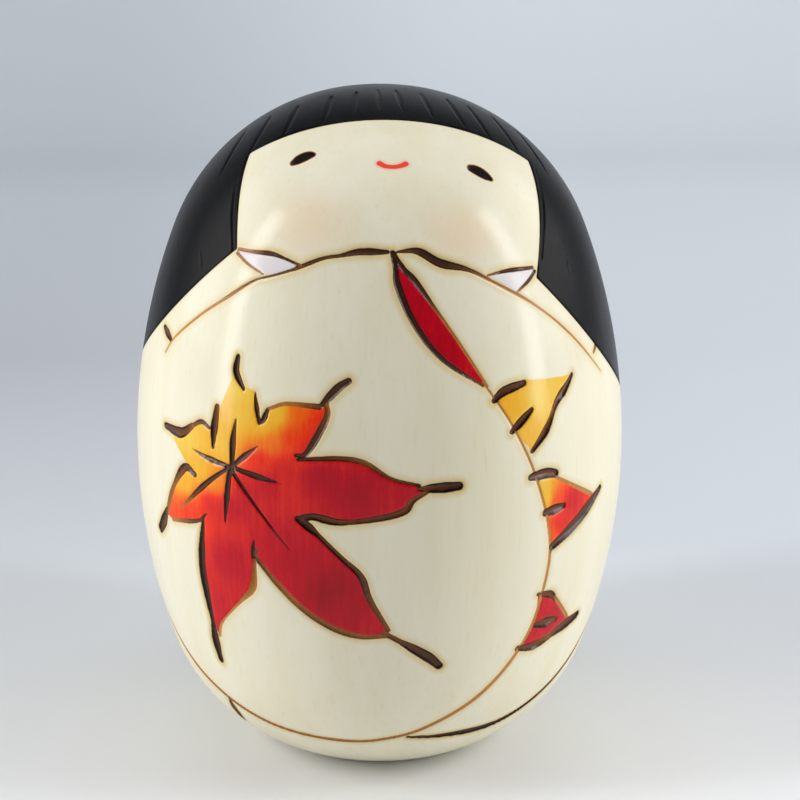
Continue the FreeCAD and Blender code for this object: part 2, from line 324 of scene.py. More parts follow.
COLLAR_STROKES = (
    Stroke(
        "under_left_upper",
        ((-43, 77), (-37, 77), (-31, 77), (-23, 76)),
        (0.5, 0.5, 0.7, 0.4, 0.4),
        (0.3, 0.5, 1, 0.4),
    ),
    Stroke("under_left_lower", ((-43, 76.5), (-39, 75.5), (-33.5, 74.5)), (0.5, 0.4, 0.3), (0.3, 0.4, 0.3)),
    Stroke(
        "collar_left",
        ((-25, 75.5), (-18, 77), (-13, 77.5), (-8, 78), (-1, 78)),
        (0.5, 0.6, 0.5, 0.5, 0.9, 1.0, 0.6),
        (0.5, 0.7, 0.6, 0.8, 1, 1),
    ),
    Stroke(
        "collar_left_end",
        ((-63.5, 61.5), (-60, 64), (-51, 68), (-43, 71), (-36, 73.5), (-30.5, 74.5), (-25, 75.5)),
        (0.4, 0.4, 0.4, 0.5, 0.3, 0.4),
        (0, 0.15, 0.2, 0.5, 0.6),
    ),
    Stroke(
        "collar_right",
        ((1.5, 78), (7, 78), (12.5, 76.5), (19.5, 75.5), (25, 74), (37.5, 70), (48.5, 65), (60, 58.5)),
        (0.3, 1.1, 1.2, 0.6, 0.45, 0.45, 0.4, 0.4, 0.4, 0.4, 0.35, 0.3),
        (0.6, 1, 1, 0.6, 0.3, 0.3, 0.25, 0.2, 0.2, 0.15, 0.1, 0),
    ),
    Stroke(
        "sliver_left",
        ((0, 78), (1, 76), (1.5, 74), (5, 69.5), (11, 65), (20.5, 61)),
        (0.4, 1.0, 0.9, 0.8, 0.6, 0.3),
        (1, 1, 0.9, 0.8, 0.5),
    ),
    Stroke(
        "sliver_right",
        ((0.5, 78), (3, 76), (6.5, 74), (14, 68), (21.5, 61)),
        (0.5, 0.9, 0.5, 0.4, 0.4, 0.3),
        (1, 0.8, 0.3, 0.25, 0.2),
    ),
    Stroke("under_right_upper", ((25, 74.5), (31.5, 74.7), (39.5, 74.5)), (0.3, 0.6, 0.5), (0.3, 0.9, 0.5)),
    Stroke("under_right_lower", ((40, 74), (37, 73), (33, 72)), (0.5, 0.5, 0.3), (0.7, 0.8, 0.4)),
    Stroke("tick_right", ((61.5, 63), (57.5, 61.5)), (0.9, 0.8, 0.5), (0.5, 0.4)),
    Stroke("tick_left", ((-66.5, 64.5), (-62, 63.5)), (0.8, 1.2, 0.8), (0.7,)),
)

LEAF_STROKES = (
    Stroke("top_tip", ((-37, 64), (-37, 62), (-34.5, 60)), (0.7, 1.1, 1.0, 0.5)),
    Stroke("top_notch_left", ((-31.5, 60), (-31, 58.5), (-30, 56)), (0.2, 0.8, 0.5), (0.6, 1)),
    Stroke("top_notch_right", ((-30, 56), (-29, 56.5), (-28, 58)), (0.5, 0.9, 0.5), (1, 0.7)),
    Stroke("upright_top", ((-28, 58), (-23.5, 59), (-16, 59)), (0.5, 0.6, 0.8), (0.3, 0.3, 0.6)),
    Stroke("upright_tip", ((-16, 59), (-12, 61.5), (-9.8, 62.4)), (0.5, 1.1, 1.2, 0.9), (0.7, 0.9)),
    Stroke(
        "upright_side",
        ((-14.5, 59.5), (-14.5, 57.5), (-18.5, 53), (-21, 52.5)),
        (0.6, 1.0, 1.0, 0.5),
        (0.4, 0.8),
    ),
    Stroke(
        "right_top",
        ((-20.5, 52), (-11.5, 52.5), (-6, 52), (-0.5, 50), (5.5, 49)),
        (0.5, 0.7, 0.8, 0.5, 0.4),
        (0.9, 0.5, 0.6),
    ),
    Stroke("right_tip", ((5, 48.5), (8.5, 48.5), (14, 48.5)), (0.4, 1.3, 1.5, 1.2), (0.6, 0.9, 1)),
    Stroke(
        "right_bottom",
        ((7, 48), (4, 47), (2, 45.5), (-4.5, 44.5), (-11.5, 44), (-17, 44.5), (-20.5, 44)),
        (0.5, 1.0, 0.9, 0.7, 1.2, 0.8),
        (0.5, 0.6, 0.6, 1),
    ),
    Stroke("right_notch", ((-20.5, 44), (-18, 43), (-16, 42)), (0.9, 1.3, 0.7)),
    Stroke(
        "lowright_top",
        ((-16, 42), (-11, 39), (-7, 36.5), (-5, 33), (-1, 28.5)),
        (0.7, 0.7, 1.0, 0.8, 0.6),
        (0.8, 0.6, 0.45),
    ),
    Stroke(
        "lowright_tip",
        ((-2, 28), (2, 26.5), (8, 24), (11, 22.3)),
        (0.8, 0.8, 1.4, 1.6, 1.2),
        (0.5, 0.6, 0.85, 0.9),
    ),
    Stroke(
        "lowright_bottom",
        ((-1, 27.5), (-8, 27.5), (-15, 29), (-22, 32), (-30.5, 37.5), (-30.5, 38.5)),
        (0.5, 1.0, 0.9, 0.9, 0.6),
        (0.4, 0.5, 0.4, 0.6),
    ),
    Stroke("bottom_notch", ((-31, 40), (-31.5, 37.5)), (0.2, 0.7, 0.5)),
    Stroke(
        "bottom_side",
        ((-31, 37), (-32, 33), (-35.5, 30.5), (-42.5, 26), (-44.5, 23.5)),
        (0.5, 1.1, 0.4, 0.3, 0.6),
        (0.4, 0.2, 0.1),
    ),
    Stroke("bottom_left", ((-45, 41.5), (-46.5, 35), (-46.5, 31), (-46, 25.5)), (0.4, 1.4, 1.5, 0.8)),
    Stroke("bottom_tip", ((-46, 25.5), (-46.5, 22), (-46.5, 19)), (0.8, 1.7, 1.0)),
    Stroke("left_bottom", ((-44, 42), (-47, 40.5), (-56.5, 39)), (0.3, 0.7, 0.6), (0.9, 0.2)),
    Stroke("left_tip", ((-59, 40), (-61, 38), (-63.5, 36.3)), (0.8, 1.8, 1.5), (0.5, 0.8)),
    Stroke(
        "left_side",
        ((-59, 39.5), (-55.5, 44), (-51, 47.5), (-47.5, 47)),
        (0.8, 1.0, 0.8, 1.3, 0.8),
        (0.3, 0.4, 0.8),
    ),
    Stroke("upleft_tip", ((-59.5, 52), (-53, 52), (-49, 53.5)), (0.9, 1.6, 0.9), (0.8, 0.7, 0.45)),
    Stroke("upleft_side", ((-49, 53.5), (-46, 54.5), (-43.5, 54)), (0.6, 0.7, 0.5), (0.45, 0.8)),
    Stroke("upleft_notch", ((-41.5, 57), (-42, 53.5), (-42, 51.5)), (0.9, 1.4, 0.5), (0.5, 0.9)),
    Stroke("vein_up", ((-36.5, 49.5), (-36.5, 53), (-36, 56)), (0.7, 1.1, 0.3), (1, 0.5)),
    Stroke("vein_upright", ((-36.5, 49.5), (-34, 51), (-30, 53)), (0.5, 0.85, 0.2), (1, 0.6)),
    Stroke("vein_right", ((-36, 49.5), (-30.5, 49), (-24, 48.5)), (0.6, 0.95, 0.1)),
    Stroke("vein_lowright", ((-36.5, 49), (-30.5, 45), (-22.5, 39.5)), (0.7, 0.45, 0.2)),
    Stroke("vein_down", ((-37, 49), (-37.5, 47), (-38.5, 41.5)), (0.8, 1.0, 0.2)),
    Stroke("vein_lowleft", ((-37, 49.5), (-43.5, 46.5), (-52.5, 41.5)), (0.5, 0.9, 0.3), (1, 0.8, 0.2)),
    Stroke("vein_left", ((-37, 49.5), (-44.5, 50), (-48.5, 50.5)), (0.6, 0.85, 0.2), (1, 0.4)),
)

HALF_LEAF_STROKES = (
    Stroke("bit1_a", ((22.8, 59), (25.5, 60), (31, 60.6)), (0.8, 1.3, 1.3, 0.9), (1, 0.9, 0.6)),
    Stroke("bit1_b", ((26.8, 54.6), (32.5, 57)), (0.7, 1.3, 1.2, 0.7), (1, 0.7)),
    Stroke(
        "bit1_outer",
        ((46.5, 60), (43.5, 58.5), (40, 57), (36.5, 54), (32, 51.5)),
        (0.6, 1.4, 0.8, 1.3, 0.7),
        (0.8, 0.5, 0.9),
    ),
    Stroke("bit2_a", ((31.5, 48), (36, 48), (38.7, 47.6)), (1.0, 1.5, 1.5, 1.2), (0.8, 0.6)),
    Stroke("bit2_top", ((39, 47), (52, 42.5)), (0.5, 0.7), (0.2,)),
    Stroke(
        "bit2_outer",
        ((56.5, 42.5), (50, 40.5), (45, 39), (38.5, 37.2)),
        (1.0, 2.0, 1.9, 1.3),
        (0.7, 0.85),
    ),
    Stroke("bit2_b", ((35.7, 42.5), (41.5, 42.6)), (1.1, 1.6, 0.9), (0.8, 0.6)),
    Stroke("bit3_top", ((35.5, 30.5), (40, 29.7), (42, 28.5)), (0.5, 1.2, 0.6), (0.6,)),
    Stroke("bit3_side", ((41.5, 29), (48.5, 24.5)), (0.6,), (0.25,)),
    Stroke(
        "bit3_outer",
        ((54, 23.5), (45.5, 23), (38, 22), (32, 22.5)),
        (1.4, 2.0, 1.3, 1.5, 1.0),
        (0.8, 0.5, 0.7),
    ),
    Stroke("bit3_b", ((36.5, 25.5), (43.5, 25.1)), (1.0, 1.8, 0.9), (0.8, 0.5)),
)

HEM_STROKES = (
    Stroke(
        "ring",
        ((20.5, 61.5), (26.5, 56), (32.5, 48.5), (37.5, 38.5), (37, 31), (33.5, 23.5), (24, 16.5), (10, 11.5))
        + ((0, 9.5), (-13, 8.5), (-37, 9.5), (-58.5, 14), (-78, 21), (-95, 30)),
        (0.3, 0.4, 0.5, 0.6, 0.7, 0.7, 0.8, 0.9, 0.9, 0.8, 0.5),
        (0.3, 0.2, 0.15, 0.15, 0.25, 0.35, 0.35, 0.2, 0),
    ),
    Stroke(
        "hem_line",
        ((5, 9.5), (15, 9), (34, 9), (52, 12.5), (70, 19), (88, 28)),
        (0.6, 1.6, 1.2, 1.1, 0.7, 0.4),
        (0.9, 1, 0.6, 0.4, 0.2, 0),
    ),
    Stroke("ring_tick", ((-50, 11), (-51.5, 7)), (0.8, 1.7, 1.2), (0.5,)),
)

WASHES = (
    Wash(
        "leaf",
        ((-37, 63.5), (-38, 61), (-40, 58), (-42, 54), "-upleft_side", (-53, 52), (-56.5, 51.5), (-54, 50))
        + ((-52, 49), "-left_side", "-left_bottom", "bottom_left", "-bottom_side", "-lowright_bottom")
        + ("-lowright_top",)
        + ("-right_notch", "-right_bottom", "-right_top", "-upright_side", "-upright_top", "-top_notch_right")
        + ("-top_notch_left", (-34.5, 60.5)),
    ),
    Wash("sliver", ("sliver_left", "-sliver_right")),
    Wash("bit1", ((23, 59), (26, 60.5), (31, 61), (37.5, 60.5), "bit1_outer", (29, 53.5), (26.5, 56))),
    Wash("bit2", ((32.5, 48), (36, 47.5), "bit2_top", "bit2_outer", (37, 39), (35.5, 43))),
    Wash("bit3", ("bit3_top", "bit3_side", "bit3_outer", (34, 24), (36, 27.5))),
)

WHITES = (
    Wash("under_left", ("under_left_upper", (-25, 75.5), (-30, 74.7), "-under_left_lower")),
    Wash("under_right", ("under_right_upper", "under_right_lower", (31.5, 72.3), (29, 73.3))),
)

# (turn, height, tone): tone runs from 0, yellow, through orange and scarlet to 1, deep crimson.
TONES = (
    (-36, 60, 0.03), (-35, 56.5, 0.1), (-49.5, 51.5, 0.05), (-55, 51.5, 0.03), (-51.5, 45.5, 0.2),
    (-46, 48, 0.15), (-49.5, 41.5, 0.62), (-57, 40, 0.58), (-41, 47, 0.35), (-39, 52, 0.1),
    (-29, 56, 0.15), (-26, 57.5, 0.12), (-20, 58, 0.5), (-17, 57, 0.64), (-17, 54, 0.7),
    (-22, 54.5, 0.62), (-27, 53.5, 0.45), (-29, 51, 0.66), (-23.5, 50.5, 0.76), (-15.5, 50, 0.86),
    (-8, 48, 0.88), (-33, 46.5, 0.82), (-36, 44, 0.84), (-37.5, 36.5, 0.84), (-40, 28, 0.8),
    (-42, 43.5, 0.74), (-28, 48, 0.82), (1.5, 48.5, 0.82), (-9.5, 31.5, 0.86), (-14, 34, 0.93),
    (-22, 38, 0.84), (-26, 41, 0.82), (-3, 29, 0.8), (3, 72, 0.86), (12, 66, 0.86),
    (19, 62, 0.84), (25, 58, 0.2), (30, 56, 0.16), (34, 58, 0.03), (40, 59, 0.08),
    (33.5, 46.5, 0.06), (36, 44.5, 0.1), (39, 44, 0.58), (44, 43, 0.78), (41, 40, 0.7),
    (37, 39, 0.5), (38, 28, 0.8), (42, 26, 0.82), (36, 24, 0.8),
)


def smooth_path(spots: Sequence[Point], step: float = 0.35) -> Tuple[Array, Array]:
    """A smooth curve through spots of (turn, height).

    Args:
        spots: the places it passes through.
        step: the spacing of the points along it, with one degree of turn taken as half a millimetre.

    Returns:
        (n, 2) spots, and how far along each is, from 0 to 1. Between neighbours a and b, outer ones p and
        q it is the cubic whose end slopes are (b - p) / 2 and (q - a) / 2.
    """
    knots = np.array(spots, float)
    knots = np.concatenate([2 * knots[:1] - knots[1:2], knots, 2 * knots[-1:] - knots[-2:-1]])
    parts: List[Array] = []
    for p, a, b, q in zip(knots, knots[1:], knots[2:], knots[3:]):
        size = np.hypot((b[0] - a[0]) * 0.5, b[1] - a[1])
        t = np.arange(max(2, math.ceil(size / step)))[:, None] / max(2, math.ceil(size / step))
        bend = (3 * a - p - 3 * b + q) * t**3 + (2 * p - 5 * a + 4 * b - q) * t**2 + (b - p) * t
        parts.append(a + 0.5 * bend)
    curve = np.concatenate(parts + [knots[-2:-1]])
    run = np.hypot(np.diff(curve[:, 0]) * 0.5, np.diff(curve[:, 1]))
    along = np.concatenate([[0.0], np.cumsum(run)])
    return curve, along / along[-1]


def read_evenly(values: Sequence[float], along: Array) -> Array:
    """A few values spaced evenly from 0 to 1, read at the places asked for."""
    if len(values) == 1:
        return np.full(len(along), float(values[0]))
    return np.interp(along, np.linspace(0.0, 1.0, len(values)), values)


@dataclass
class Trace:
    """A line on the skin as short straight runs, with its half width and burn at each point."""

    points: Array
    half: Array
    burn: Array

    @classmethod
    def of_stroke(cls, stroke: Stroke, egg: Egg) -> "Trace":
        """The trace of a drawn stroke, whose width swells and dies as its values say."""
        curve, along = smooth_path(stroke.path)
        half = 0.5 * read_evenly(stroke.width, along)
        return cls(egg.on_skin(curve), half, read_evenly(stroke.burn, along))

    @classmethod
    def thin(cls, points: Array) -> "Trace":
        """The trace of a line without width, such as the edge of a painted area."""
        return cls(points, np.zeros(len(points)), np.ones(len(points)))

    def spans(self, runs: int = 12) -> List["Trace"]:
        """The trace cut into pieces of a few runs each, which share their end points."""
        starts = range(0, len(self.points) - 1, runs)
        cuts = [slice(k, k + runs + 1) for k in starts]
        return [Trace(self.points[cut], self.half[cut], self.burn[cut]) for cut in cuts]


@dataclass
class Reading:
    """What the nearest line says at each place: how far its edge is, its half width and its burn."""

    edge: Array
    half: Array
    burn: Array


def nearest(points: Array, traces: Sequence[Trace], reach: float) -> Reading:
    """Finds the nearest line's edge at every place, as far as reach.

    Args:
        points: (n, 3) places.
        traces: the lines.
        reach: the edge distance given where no line is near.

    Returns:
        The reading. For each run from a to b the foot is a + t (b - a) with t held in 0 to 1, and the edge
        distance is the distance to the foot less the half width there, which is negative inside the line.
    """
    found = Reading(np.full(len(points), reach), np.full(len(points), 0.1), np.zeros(len(points)))
    for span in [piece for trace in traces for piece in trace.spans()]:
        pad = reach + span.half.max()
        low, high = span.points.min(0) - pad, span.points.max(0) + pad
        near = np.flatnonzero(np.all((points > low) & (points < high), axis=1))
        if not len(near):
            continue
        start, run = span.points[:-1], np.diff(span.points, axis=0)
        away = points[near][:, None, :] - start[None]
        t = np.clip((away * run).sum(2) / np.maximum((run * run).sum(1), 1e-9), 0.0, 1.0)
        half = span.half[:-1] + t * np.diff(span.half)
        edge = np.linalg.norm(away - t[..., None] * run, axis=2) - half
        best = edge.argmin(1)
        rows = np.arange(len(near))
        closer = edge[rows, best] < found.edge[near]
        rows, best, near = rows[closer], best[closer], near[closer]
        found.edge[near] = edge[rows, best]
        found.half[near] = half[rows, best]
        found.burn[near] = (span.burn[:-1] + t * np.diff(span.burn))[rows, best]
    return found


def inside(spots: Array, edge: Array) -> Array:
    """Whether (turn, height) spots lie in a closed outline: a level ray crosses it an odd number of times."""
    result = np.zeros(len(spots), bool)
    near = np.flatnonzero(np.all((spots > edge.min(0)) & (spots < edge.max(0)), axis=1))
    x, y = spots[near, 0], spots[near, 1]
    odd = np.zeros(len(near), bool)
    for (ax, ay), (bx, by) in zip(edge, np.roll(edge, -1, axis=0)):
        if ay != by:
            odd ^= ((ay > y) != (by > y)) & (x < (bx - ax) * (y - ay) / (by - ay) + ax)
    result[near] = odd
    return result


@dataclass
class Drawing:
    """Everything drawn on the egg, as traces, and what it says at any place on the skin."""

    egg: Egg
    hair_line: HairLine
    reach: float = 2.5
    fine_reach: float = 6.0
    line_margin: float = 0.2
    hair_margin: float = 0.25
    side_margin: float = 0.4
    side_lowest: float = 60.0
    side_rearmost: float = -8.0
    strand_half: float = 0.42
    nick_half: float = 0.2
    strand_feet: Tuple[float, ...] = (-22, -18, -13.5, -8, -4, -0.5, 2.5, 6.5, 10.8, 14.2, 18.2, 22.5)
    strand_reach: float = 8.0
    strand_short: float = 2.6
    side_nicks: Tuple[Tuple[Point, Point], ...] = (((-58.5, 75.8), (-55, 73.4)), ((54.8, 74.3), (53.8, 72.2)))

    def __post_init__(self) -> None:
        """Turns every stroke, strand and wash into traces."""
        strokes = FACE_STROKES + COLLAR_STROKES + LEAF_STROKES + HALF_LEAF_STROKES + HEM_STROKES
        self.strokes = {stroke.name: stroke for stroke in strokes}
        self.pens = [Trace.of_stroke(s, self.egg) for s in strokes if s.tool is Tool.PEN]
        self.eyes = [Trace.of_stroke(s, self.egg) for s in strokes if s.tool is Tool.EYE]
        self.mouth = [Trace.of_stroke(s, self.egg) for s in strokes if s.tool is Tool.BRUSH]
        self.strands = [self.strand(foot) for foot in self.strand_feet]
        self.strands += [self.nick(*ends) for ends in self.side_nicks]
        self.washes = [self.outline(wash) for wash in WASHES]
        self.whites = [self.outline(wash) for wash in WHITES]

    def strand(self, foot: float) -> Trace:
        """A groove combed forwards over the crown to the fringe.

        Args:
            foot: how far across the fringe it ends, seen from above.

        Returns:
            Its trace. In plan it runs forwards towards the fringe's arc, stopping strand_short before it in
            the middle and nearer to it at the sides. Its x spreads from 0.84 to 1 of the foot as t to the
            power 1.4.
            Its half width swells to strand_half and dies as sin(pi t) to the power 0.7.
        """
        line = self.hair_line
        t = np.linspace(0.0, 1.0, 34)
        end = line.fringe_radius - line.fringe_setback - math.sqrt(line.fringe_radius**2 - foot * foot)
        y = end + self.strand_short * max(0.0, 1.0 - abs(foot) / 14.0) + self.strand_reach * (1.0 - t)
        x = foot * (0.84 + 0.16 * t**1.4)
        half = self.strand_half * np.sin(math.pi * np.clip(t, 0.03, 0.97)) ** 0.7
        return Trace(self.egg.from_above(np.stack([x, y], 1)), half, np.ones(len(t)))

    def nick(self, top: Point, foot: Point) -> Trace:
        """A short groove low in the side hair."""
        curve, along = smooth_path((top, foot), 0.3)
        half = self.nick_half * np.sin(math.pi * np.clip(along, 0.05, 0.95))
        return Trace(self.egg.on_skin(curve), half, np.ones(len(along)))

    def outline(self, wash: Wash) -> Tuple[Array, Trace]:
        """A wash's closed edge as (turn, height) spots and as a trace."""
        parts: List[Array] = []
        for piece in wash.edge:
            if isinstance(piece, str):
                curve = smooth_path(self.strokes[piece.lstrip("-")].path, 0.6)[0]
                parts.append(curve[::-1] if piece.startswith("-") else curve)
            else:
                parts.append(np.array([piece], float))
        edge = np.concatenate(parts)
        closed = np.concatenate([edge, edge[:1]])
        steps = np.linspace(0.0, len(edge), len(edge) * 3 + 1)
        dense = np.stack([np.interp(steps, np.arange(len(closed)), closed[:, k]) for k in (0, 1)], 1)
        return edge, Trace.thin(self.egg.on_skin(dense))

    def wash_gap(self, points: Array, washes: Sequence[Tuple[Array, Trace]]) -> Array:
        """Signed distance to the nearest painted edge, negative in the paint."""
        spots = np.stack([np.degrees(np.arctan2(points[:, 0], -points[:, 1])), points[:, 2]], 1)
        gap = np.full(len(points), self.reach)
        for edge, trace in washes:
            away = nearest(points, [trace], self.reach).edge
            gap = np.minimum(gap, np.where(inside(spots, edge), -away, away))
        return gap

    def tone(self, points: Array) -> Array:
        """The paint's tone: the swatches' average, each weighing (1 + squared distance) to the power -1.6."""
        swatches = np.array(TONES, float)
        away = np.linalg.norm(points[:, None] - self.egg.on_skin(swatches[:, :2])[None], axis=2)
        weight = (1.0 + away * away) ** -1.6
        return (weight * swatches[:, 2]).sum(1) / weight.sum(1)

    def fineness(self, points: Array, normals: Array) -> Array:
        """How far each place is from anything that needs fine cells."""
        drawn = self.pens + self.eyes + self.mouth + self.strands
        lines = nearest(points, drawn, self.fine_reach).edge - self.line_margin
        paint = nearest(points, [trace for _, trace in self.washes + self.whites], self.fine_reach).edge
        hair = np.abs(self.hair_line.gap(points, normals)) - self.hair_margin
        side = np.abs(self.hair_line.side_gap(points) - 1.0) - self.side_margin
        beside_face = (points[:, 2] > self.side_lowest) & (points[:, 1] < self.side_rearmost)
        return np.minimum.reduce([lines, paint, hair, np.where(beside_face, side, self.fine_reach)])


def ragged(first: Array, count: Array, way: Array) -> Array:
    """Runs of numbers laid end to end: each starts at first and has count numbers, up or down by way."""
    starts = np.concatenate([[0], np.cumsum(count)[:-1]])
    within = np.arange(count.sum()) - np.repeat(starts, count)
    return np.repeat(first, count) + np.repeat(way, count) * within


@dataclass
class Skin:
    """The egg's surface cut into cells, small along every line, and split along the hair's edge.

    The lattice has a row for each step along the outline and a column for each step round it. Cells start
    coarse and are halved until each is small enough for its place. A cell's loop takes in the corners of
    smaller neighbours, so the surface has no gaps.
    """

    egg: Egg
    drawing: Drawing
    finest: float = 0.25
    growth: float = 0.5
    coarsest: float = 1.7
    first_step: int = 256
    first_columns: int = 128

    def __post_init__(self) -> None:
        """Cuts the cells, links their corners into loops and splits them along the hair's edge."""
        self.link(self.cut())
        self.split()

    def wanted(self, cells: Array) -> Array:
        """The size each cell may have: finest at a line, growing with the distance from the rim to it."""
        place, normal = self.egg.place(cells[:, :2].mean(1), cells[:, 2:].mean(1))
        corner, _ = self.egg.place(cells[:, 0], cells[:, 2])
        away = self.drawing.fineness(place, normal) - np.linalg.norm(corner - place, axis=1)
        inner = cells[:, 0] < self.egg.rows[3]
        size = self.finest + self.growth * np.maximum(away, 0.0)
        return np.where(inner, self.coarsest, np.minimum(size, self.coarsest))

    def cut(self) -> Array:
        """Halves cells until they are small enough.

        Returns:
            (n, 4) cells as first and last row, first and last column.
        """
        egg = self.egg
        every_row = np.arange(0, egg.rows[-1], self.first_step)
        every_column = np.arange(0, egg.columns, self.first_columns)
        row, column = np.meshgrid(every_row, every_column, indexing="ij")
        row, column = row.ravel(), column.ravel()
        cells = np.stack([row, row + self.first_step, column, column + self.first_columns], 1)
        done: List[Array] = []
        while len(cells):
            size = self.wanted(cells)
            lower, upper = egg.place(cells[:, 0], cells[:, 2])[0], egg.place(cells[:, 1], cells[:, 2])[0]
            tall = np.linalg.norm(upper - lower, axis=1) > size
            radius = np.maximum(np.hypot(*lower[:, :2].T), np.hypot(*upper[:, :2].T))
            wide = radius * (cells[:, 3] - cells[:, 2]) * 2.0 * math.pi / egg.columns > size
            done.append(cells[~(tall | wide)])
            cells, wide = self.halved(cells, tall, 0, wide)
            cells, wide = self.halved(cells, wide, 2, wide, everything=False)
        return np.concatenate(done)

    def halved(
        self, cells: Array, which: Array, first: int, wide: Array, everything: bool = True
    ) -> Tuple[Array, Array]:
        """Halves the cells that ask for it, along rows (first = 0) or columns (first = 2).

        Args:
            cells: the cells.
            which: the ones to halve.
            first: the number of the cell's first bound in that direction.
            wide: the mark that goes along with each cell.
            everything: True keeps a cell that isn't halved if it has the mark; False keeps every such cell.

        Returns:
            The new cells and their marks.
        """
        whole = ~which & wide if everything else ~which
        low, high = cells[which].copy(), cells[which].copy()
        middle = (cells[which, first] + cells[which, first + 1]) // 2
        low[:, first + 1], high[:, first] = middle, middle
        halves_wide = [wide[whole], wide[which], wide[which]]
        return np.concatenate([cells[whole], low, high]), np.concatenate(halves_wide)

    def link(self, cells: Array) -> None:
        """Numbers the corners and writes each cell's loop of them, anticlockwise from outside."""
        egg = self.egg
        poles = (0, egg.rows[-1])

        def key(row: Array, column: Array) -> Array:
            """One number for a corner: a pole has a single corner, and the last column is the first."""
            return row * egg.columns + np.where(np.isin(row, poles), 0, column % egg.columns)

        r0, r1, c0, c1 = cells.T
        keys = np.unique(np.concatenate([key(r, c) for r in (r0, r1) for c in (c0, c1)]))
        row, column = keys // egg.columns, keys % egg.columns
        high = egg.rows[-1] + 1
        upright = np.argsort(column * high + row, kind="stable")
        upright_keys = (column * high + row)[upright]
        corner = [np.searchsorted(keys, key(r, c)) for r, c in ((r0, c0), (r0, c1), (r1, c1), (r1, c0))]

        def level(r: Array) -> Tuple[Array, Array]:
            """Corners strictly between a cell's two sides on one of its rows."""
            start = np.searchsorted(keys, r * egg.columns + c0, side="right")
            end = np.searchsorted(keys, r * egg.columns + c1, side="left")
            polar = np.isin(r, poles)
            return start, np.where(polar, 0, end - start)

        def rising(c: Array) -> Tuple[Array, Array]:
            """Corners strictly between a cell's bottom and top on one of its columns."""
            c = c % egg.columns
            start = np.searchsorted(upright_keys, c * high + r0, side="right")
            end = np.searchsorted(upright_keys, c * high + r1, side="left")
            return start + len(keys), end - start

        one = np.ones(len(cells), np.int64)
        edges = [(level(r0), 1), (rising(c1), 1), (level(r1), -1), (rising(c0), -1)]
        starts, counts, ways = [], [], []
        for single, ((start, count), way) in zip(corner, edges):
            starts += [single, start if way > 0 else start + count - 1]
            counts += [one, count]
            ways += [one, one * way]
        starts, counts, ways = (np.stack(part, 1).ravel() for part in (starts, counts, ways))
        table = np.concatenate([np.arange(len(keys)), upright])
        loop = table[ragged(starts, counts, ways)]
        owner = np.repeat(np.repeat(np.arange(len(cells)), 8), counts)
        self.row, self.column = row.astype(float), column.astype(float)
        self.loop, self.owner = self.tidied(loop, owner)

    @staticmethod
    def following(owner: Array, values: Array, step: int) -> Array:
        """Each corner's next (step 1) or previous (step -1) value within its own loop."""
        first = np.flatnonzero(np.concatenate([[True], owner[1:] != owner[:-1]]))
        last = np.concatenate([first[1:], [len(owner)]]) - 1
        shifted = np.roll(values, -step)
        if step > 0:
            shifted[last] = values[first]
        else:
            shifted[first] = values[last]
        return shifted

    def tidied(self, loop: Array, owner: Array) -> Tuple[Array, Array]:
        """Loops without a corner given twice running, and without loops of fewer than three corners."""
        keep = loop != self.following(owner, loop, -1)
        loop, owner = loop[keep], owner[keep]
        enough = np.bincount(owner, minlength=owner.max() + 1)[owner] > 2
        return loop[enough], owner[enough]

    def split(self) -> None:
        """Cuts every loop that the hair's edge crosses, so that hair and wood each have whole loops.

        The crossing on a side between corners with gaps g and h lies g / (g - h) of the way along it.
        """
        place, normal = self.egg.place(self.row, self.column)
        gap = self.drawing.hair_line.gap(place, normal)
        inner = self.row < self.egg.rows[3]
        gap = np.where(inner, -self.drawing.reach, np.where(gap == 0.0, 1e-6, gap))
        a, b = self.loop, self.following(self.owner, self.loop, 1)
        crossed = (gap[a] > 0.0) != (gap[b] > 0.0)
        pair = np.minimum(a, b) * np.int64(len(gap)) + np.maximum(a, b)
        unique, which = np.unique(pair[crossed], return_inverse=True)
        p, q = unique // len(gap), unique % len(gap)
        t = gap[p] / (gap[p] - gap[q])
        far = np.where(np.abs(self.column[p] - self.column[q]) > self.egg.columns / 2, self.egg.columns, 0.0)
        from_column = self.column[p] + np.where(self.column[p] < self.column[q], far, 0.0)
        to_column = self.column[q] + np.where(self.column[q] < self.column[p], far, 0.0)
        cut = np.full(len(a), -1, np.int64)
        cut[crossed] = len(gap) + which
        self.row = np.concatenate([self.row, self.row[p] + t * (self.row[q] - self.row[p])])
        self.column = np.concatenate([self.column, from_column + t * (to_column - from_column)])
        self.gap = np.concatenate([gap, np.zeros(len(unique))])
        self.on_edge = np.arange(len(self.row)) >= len(gap)
        self.hair_loops = self.kept(a, cut, gap[a] > 0.0)
        self.wood_loops = self.kept(a, cut, gap[a] < 0.0)
        self.place, self.normal = self.egg.place(self.row, self.column)

    def kept(self, corner: Array, cut: Array, wanted: Array) -> Tuple[Array, Array]:
        """The loops of one side: its own corners, with a cut corner wherever the edge crosses."""
        both = np.stack([np.where(wanted, corner, -1), cut], 1).ravel()
        owner = np.repeat(self.owner, 2)[both >= 0]
        both = both[both >= 0]
        has_own = np.zeros(owner.max() + 1, bool)
        has_own[self.owner[wanted]] = True
        whole = has_own[owner]
        return self.tidied(both[whole], owner[whole])

    def edge_sides(self) -> Array:
        """(n, 2) sides along the hair's edge, as the wood's loops walk them and the hair's walk back."""
        loop, owner = self.wood_loops
        after = self.following(owner, loop, 1)
        both = self.on_edge[loop] & self.on_edge[after]
        hair, hair_owner = self.hair_loops
        hair_after = self.following(hair_owner, hair, 1)
        count = len(self.row)
        there = hair_after * count + hair
        here = loop * count + after
        shared = both & np.isin(here, there[self.on_edge[hair]])
        return np.stack([loop[shared], after[shared]], 1)


